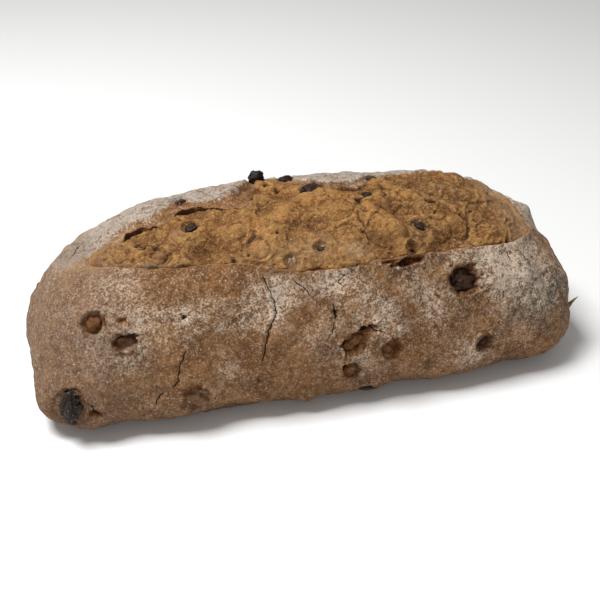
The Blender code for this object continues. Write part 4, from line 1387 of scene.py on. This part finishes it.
def raisin_material(look):
    """Raisin skin: near black, warmer where thin, with a dusty bloom on its folds and painted shade in the
    creases between them.
    """
    made = Nodes("raisin_skin", look.raisin)
    broad = made.noise(420, 3)
    fine = made.noise(1500, 4, 0.7)
    warmth = made.times(made.span(broad, 0.38, 0.66, 0.3, 1.2), "warmth")
    made.paint(made.math("MINIMUM", warmth, 0.95), look.raisin_warm)
    # Painted shade in the creases between the folds.
    made.paint(made.span("folds", 0.0, 0.16, 0.85, 0.0), RAISIN_FOLD_SHADE)
    bloom = made.times(made.span("folds", 0.20, 0.75, 0.2, 1.0), made.span(fine, 0.42, 0.62))
    made.paint(made.times(bloom, "dusty"), look.bloom)
    made.paint(made.times(made.dots(1100, (0.16, 0.30), (0.60, 0.64)), "dusty"), RAISIN_SPECK)
    normal = made.bump(fine, 0.00025, 0.9, made.bump(broad, 0.0007, 0.6))
    rough = made.plus(made.span(fine, 0.3, 0.7, 0.20, 0.36), made.times("dusty", 0.35))
    return made.finish(rough, normal, 0.18)


def walnut_material(look):
    """Walnut: tan flesh with brown skin over part of it and dark veins."""
    made = Nodes("baked_walnut", look.walnut)
    broad = made.noise(330, 3)
    fine = made.noise(1300, 4, 0.7)
    skin = made.plus(made.span(broad, 0.40, 0.60), made.plus("warmth", -0.5))
    skin = made.math("MAXIMUM", made.math("MINIMUM", skin, 1.0), 0.0)
    made.paint(skin, look.walnut_skin)
    made.paint(made.span("folds", 0.0, 0.14, 0.6, 0.0), WALNUT_VEIN)
    flecks = made.times(made.span(fine, 0.56, 0.76, 0.0, 0.35), made.span(skin, 0.0, 1.0, 1.0, 0.35))
    made.paint(flecks, WALNUT_FLECK)
    made.paint(made.times("dusty", made.span(fine, 0.40, 0.60)), WALNUT_DUST)
    normal = made.bump(fine, 0.00028, 0.9, made.bump(broad, 0.0007, 0.6))
    return made.finish(made.span(fine, 0.3, 0.7, 0.48, 0.72), normal, 0.15)


# The stage

FLOOR_HALF = 6.0
FLOOR_DROP = 0.0002
VIEW_MIDDLE = (0, 0, 0.035)
VIEW_RIGHT = 0.0013
VIEW_UP = 0.0086
LIGHT_AIM = (0, 0, 0.03)
KEY_SPOT = (-0.34, 0.02, 0.84)
KEY_SIZE = 0.36
FILL_SPOT = (-0.25, -0.95, 0.50)
FILL_SIZE = 0.60
SKY_COLOUR = (1.0, 0.99, 0.97)


def put(name, data, turn):
    """An object that stands where a matrix says."""
    made = bpy.data.objects.new(name, data)
    bpy.context.scene.collection.objects.link(made)
    made.matrix_world = turn
    return made


def soft_light(name, spot, size, power_watts):
    """A square area light that faces the loaf."""
    lamp = bpy.data.lights.new(name, "AREA")
    lamp.shape = "SQUARE"
    lamp.size = size
    lamp.energy = power_watts
    facing = (Vector(LIGHT_AIM) - Vector(spot)).to_track_quat("-Z", "Y")
    put(name, lamp, Matrix.Translation(spot) @ facing.to_matrix().to_4x4())


def make_camera(studio):
    """A camera at the photograph's angle, aimed so that the loaf lies in the frame as it does there."""
    azimuth, elevation = math.radians(studio.azimuth), math.radians(studio.elevation)
    level = math.cos(elevation)
    back = Vector((math.sin(azimuth) * level, -math.cos(azimuth) * level, math.sin(elevation)))
    right = Vector((math.cos(azimuth), math.sin(azimuth), 0))
    up = back.cross(right)
    middle = Vector(VIEW_MIDDLE)
    spot = middle + back * studio.distance
    aim = middle - right * VIEW_RIGHT - up * VIEW_UP
    view = (spot - aim).normalized()
    side = up.cross(view).normalized()
    turn = Matrix((side, view.cross(side), view)).transposed()
    turn = turn @ Matrix.Rotation(math.radians(studio.roll), 3, "Z")
    lens = bpy.data.cameras.new("photo_view")
    lens.lens = studio.lens
    bpy.context.scene.camera = put("photo_view", lens, Matrix.Translation(spot) @ turn.to_4x4())


def make_floor(studio):
    """A wide pale floor under the loaf."""
    corner_signs = ((-1, -1), (1, -1), (1, 1), (-1, 1))
    mesh = bpy.data.meshes.new("floor")
    mesh.from_pydata([(x * FLOOR_HALF, y * FLOOR_HALF, 0) for x, y in corner_signs], [], [(0, 1, 2, 3)])
    made = Nodes("pale_floor", studio.floor)
    paper = made.noise(40, 3)
    made.paint(made.span(paper, 0.3, 0.7, 0.0, 0.06), PAPER_PALE)
    rough = made.span(paper, 0.3, 0.7, 0.88, 0.94)
    mesh.materials.append(made.finish(rough, made.bump(paper, 0.0004, 0.1), 0.5))
    put("floor", mesh, Matrix.Translation((0, 0, -FLOOR_DROP)))


def make_sky(studio):
    """An even white light all round."""
    world = bpy.data.worlds.new("even_sky")
    world.use_nodes = True
    shade = world.node_tree.nodes["Background"]
    shade.inputs["Color"].default_value = (*SKY_COLOUR, 1.0)
    shade.inputs["Strength"].default_value = studio.sky
    bpy.context.scene.world = world


# Operators

RAISIN_SEED = 900
WALNUT_SEED = 1500
SEED_STEP = 20


class BREAD_OT_loaf(bpy.types.Operator):
    """Make the crust and the crumb of the burst"""

    bl_idname = "bread.loaf"
    bl_label = "Loaf"

    def execute(self, context):
        scene = context.scene
        pieces = seats("raisin_") + seats("walnut_")
        crust = crust_material(scene.crust_finish)
        make_crust(scene.loaf_form, pieces, crust)
        make_thorn(scene.loaf_form, crust)
        make_crumb(scene.loaf_form, pieces, crumb_material(scene.crumb_finish))
        return {"FINISHED"}


class BREAD_OT_raisins(bpy.types.Operator):
    """Make the raisins that show in the loaf"""

    bl_idname = "bread.raisins"
    bl_label = "Raisins"

    def execute(self, context):
        skin = raisin_material(context.scene.piece_finish)
        for order, seat in enumerate(seats("raisin_")):
            make_piece(seat, raisin_radius, RAISIN_SEED + SEED_STEP * order, skin)
        return {"FINISHED"}


class BREAD_OT_walnuts(bpy.types.Operator):
    """Make the walnut pieces that show in the loaf"""

    bl_idname = "bread.walnuts"
    bl_label = "Walnut pieces"

    def execute(self, context):
        skin = walnut_material(context.scene.piece_finish)
        for order, seat in enumerate(seats("walnut_")):
            make_piece(seat, walnut_radius, WALNUT_SEED + SEED_STEP * order, skin)
        return {"FINISHED"}


class BREAD_OT_stage(bpy.types.Operator):
    """Set up the floor, the light and the camera"""

    bl_idname = "bread.stage"
    bl_label = "Stage"

    def execute(self, context):
        studio = context.scene.studio
        make_floor(studio)
        make_sky(studio)
        soft_light("overhead", KEY_SPOT, KEY_SIZE, studio.key_power)
        soft_light("front", FILL_SPOT, FILL_SIZE, studio.fill_power)
        make_camera(studio)
        context.scene.view_settings.view_transform = "Standard"
        return {"FINISHED"}


class BREAD_PT_panel(bpy.types.Panel):
    """Lists the steps that dress the loaf"""

    bl_label = "Raisin walnut bread"
    bl_space_type = "VIEW_3D"
    bl_region_type = "UI"
    bl_category = "Bread"

    def draw(self, context):
        for step in STEPS:
            self.layout.operator(step.bl_idname)


GROUPS = {
    "loaf_form": LoafForm,
    "crust_finish": CrustFinish,
    "crumb_finish": CrumbFinish,
    "piece_finish": PieceFinish,
    "studio": Studio,
}
STEPS = (BREAD_OT_loaf, BREAD_OT_raisins, BREAD_OT_walnuts, BREAD_OT_stage)


def register():
    for group in GROUPS.values():
        bpy.utils.register_class(group)
    for name, group in GROUPS.items():
        setattr(bpy.types.Scene, name, bpy.props.PointerProperty(type=group))
    for step in STEPS:
        bpy.utils.register_class(step)
    bpy.utils.register_class(BREAD_PT_panel)


def unregister():
    bpy.utils.unregister_class(BREAD_PT_panel)
    for step in reversed(STEPS):
        bpy.utils.unregister_class(step)
    for name, group in GROUPS.items():
        delattr(bpy.types.Scene, name)
        bpy.utils.unregister_class(group)


def corners(box):
    """A box as plain lists of numbers."""
    return [[float(value) for value in corner] for corner in box]


def main():
    register()
    bpy.ops.bread.loaf()
    bpy.ops.bread.raisins()
    bpy.ops.bread.walnuts()
    bpy.ops.bread.stage()


if __name__ == "__main__":
    main()
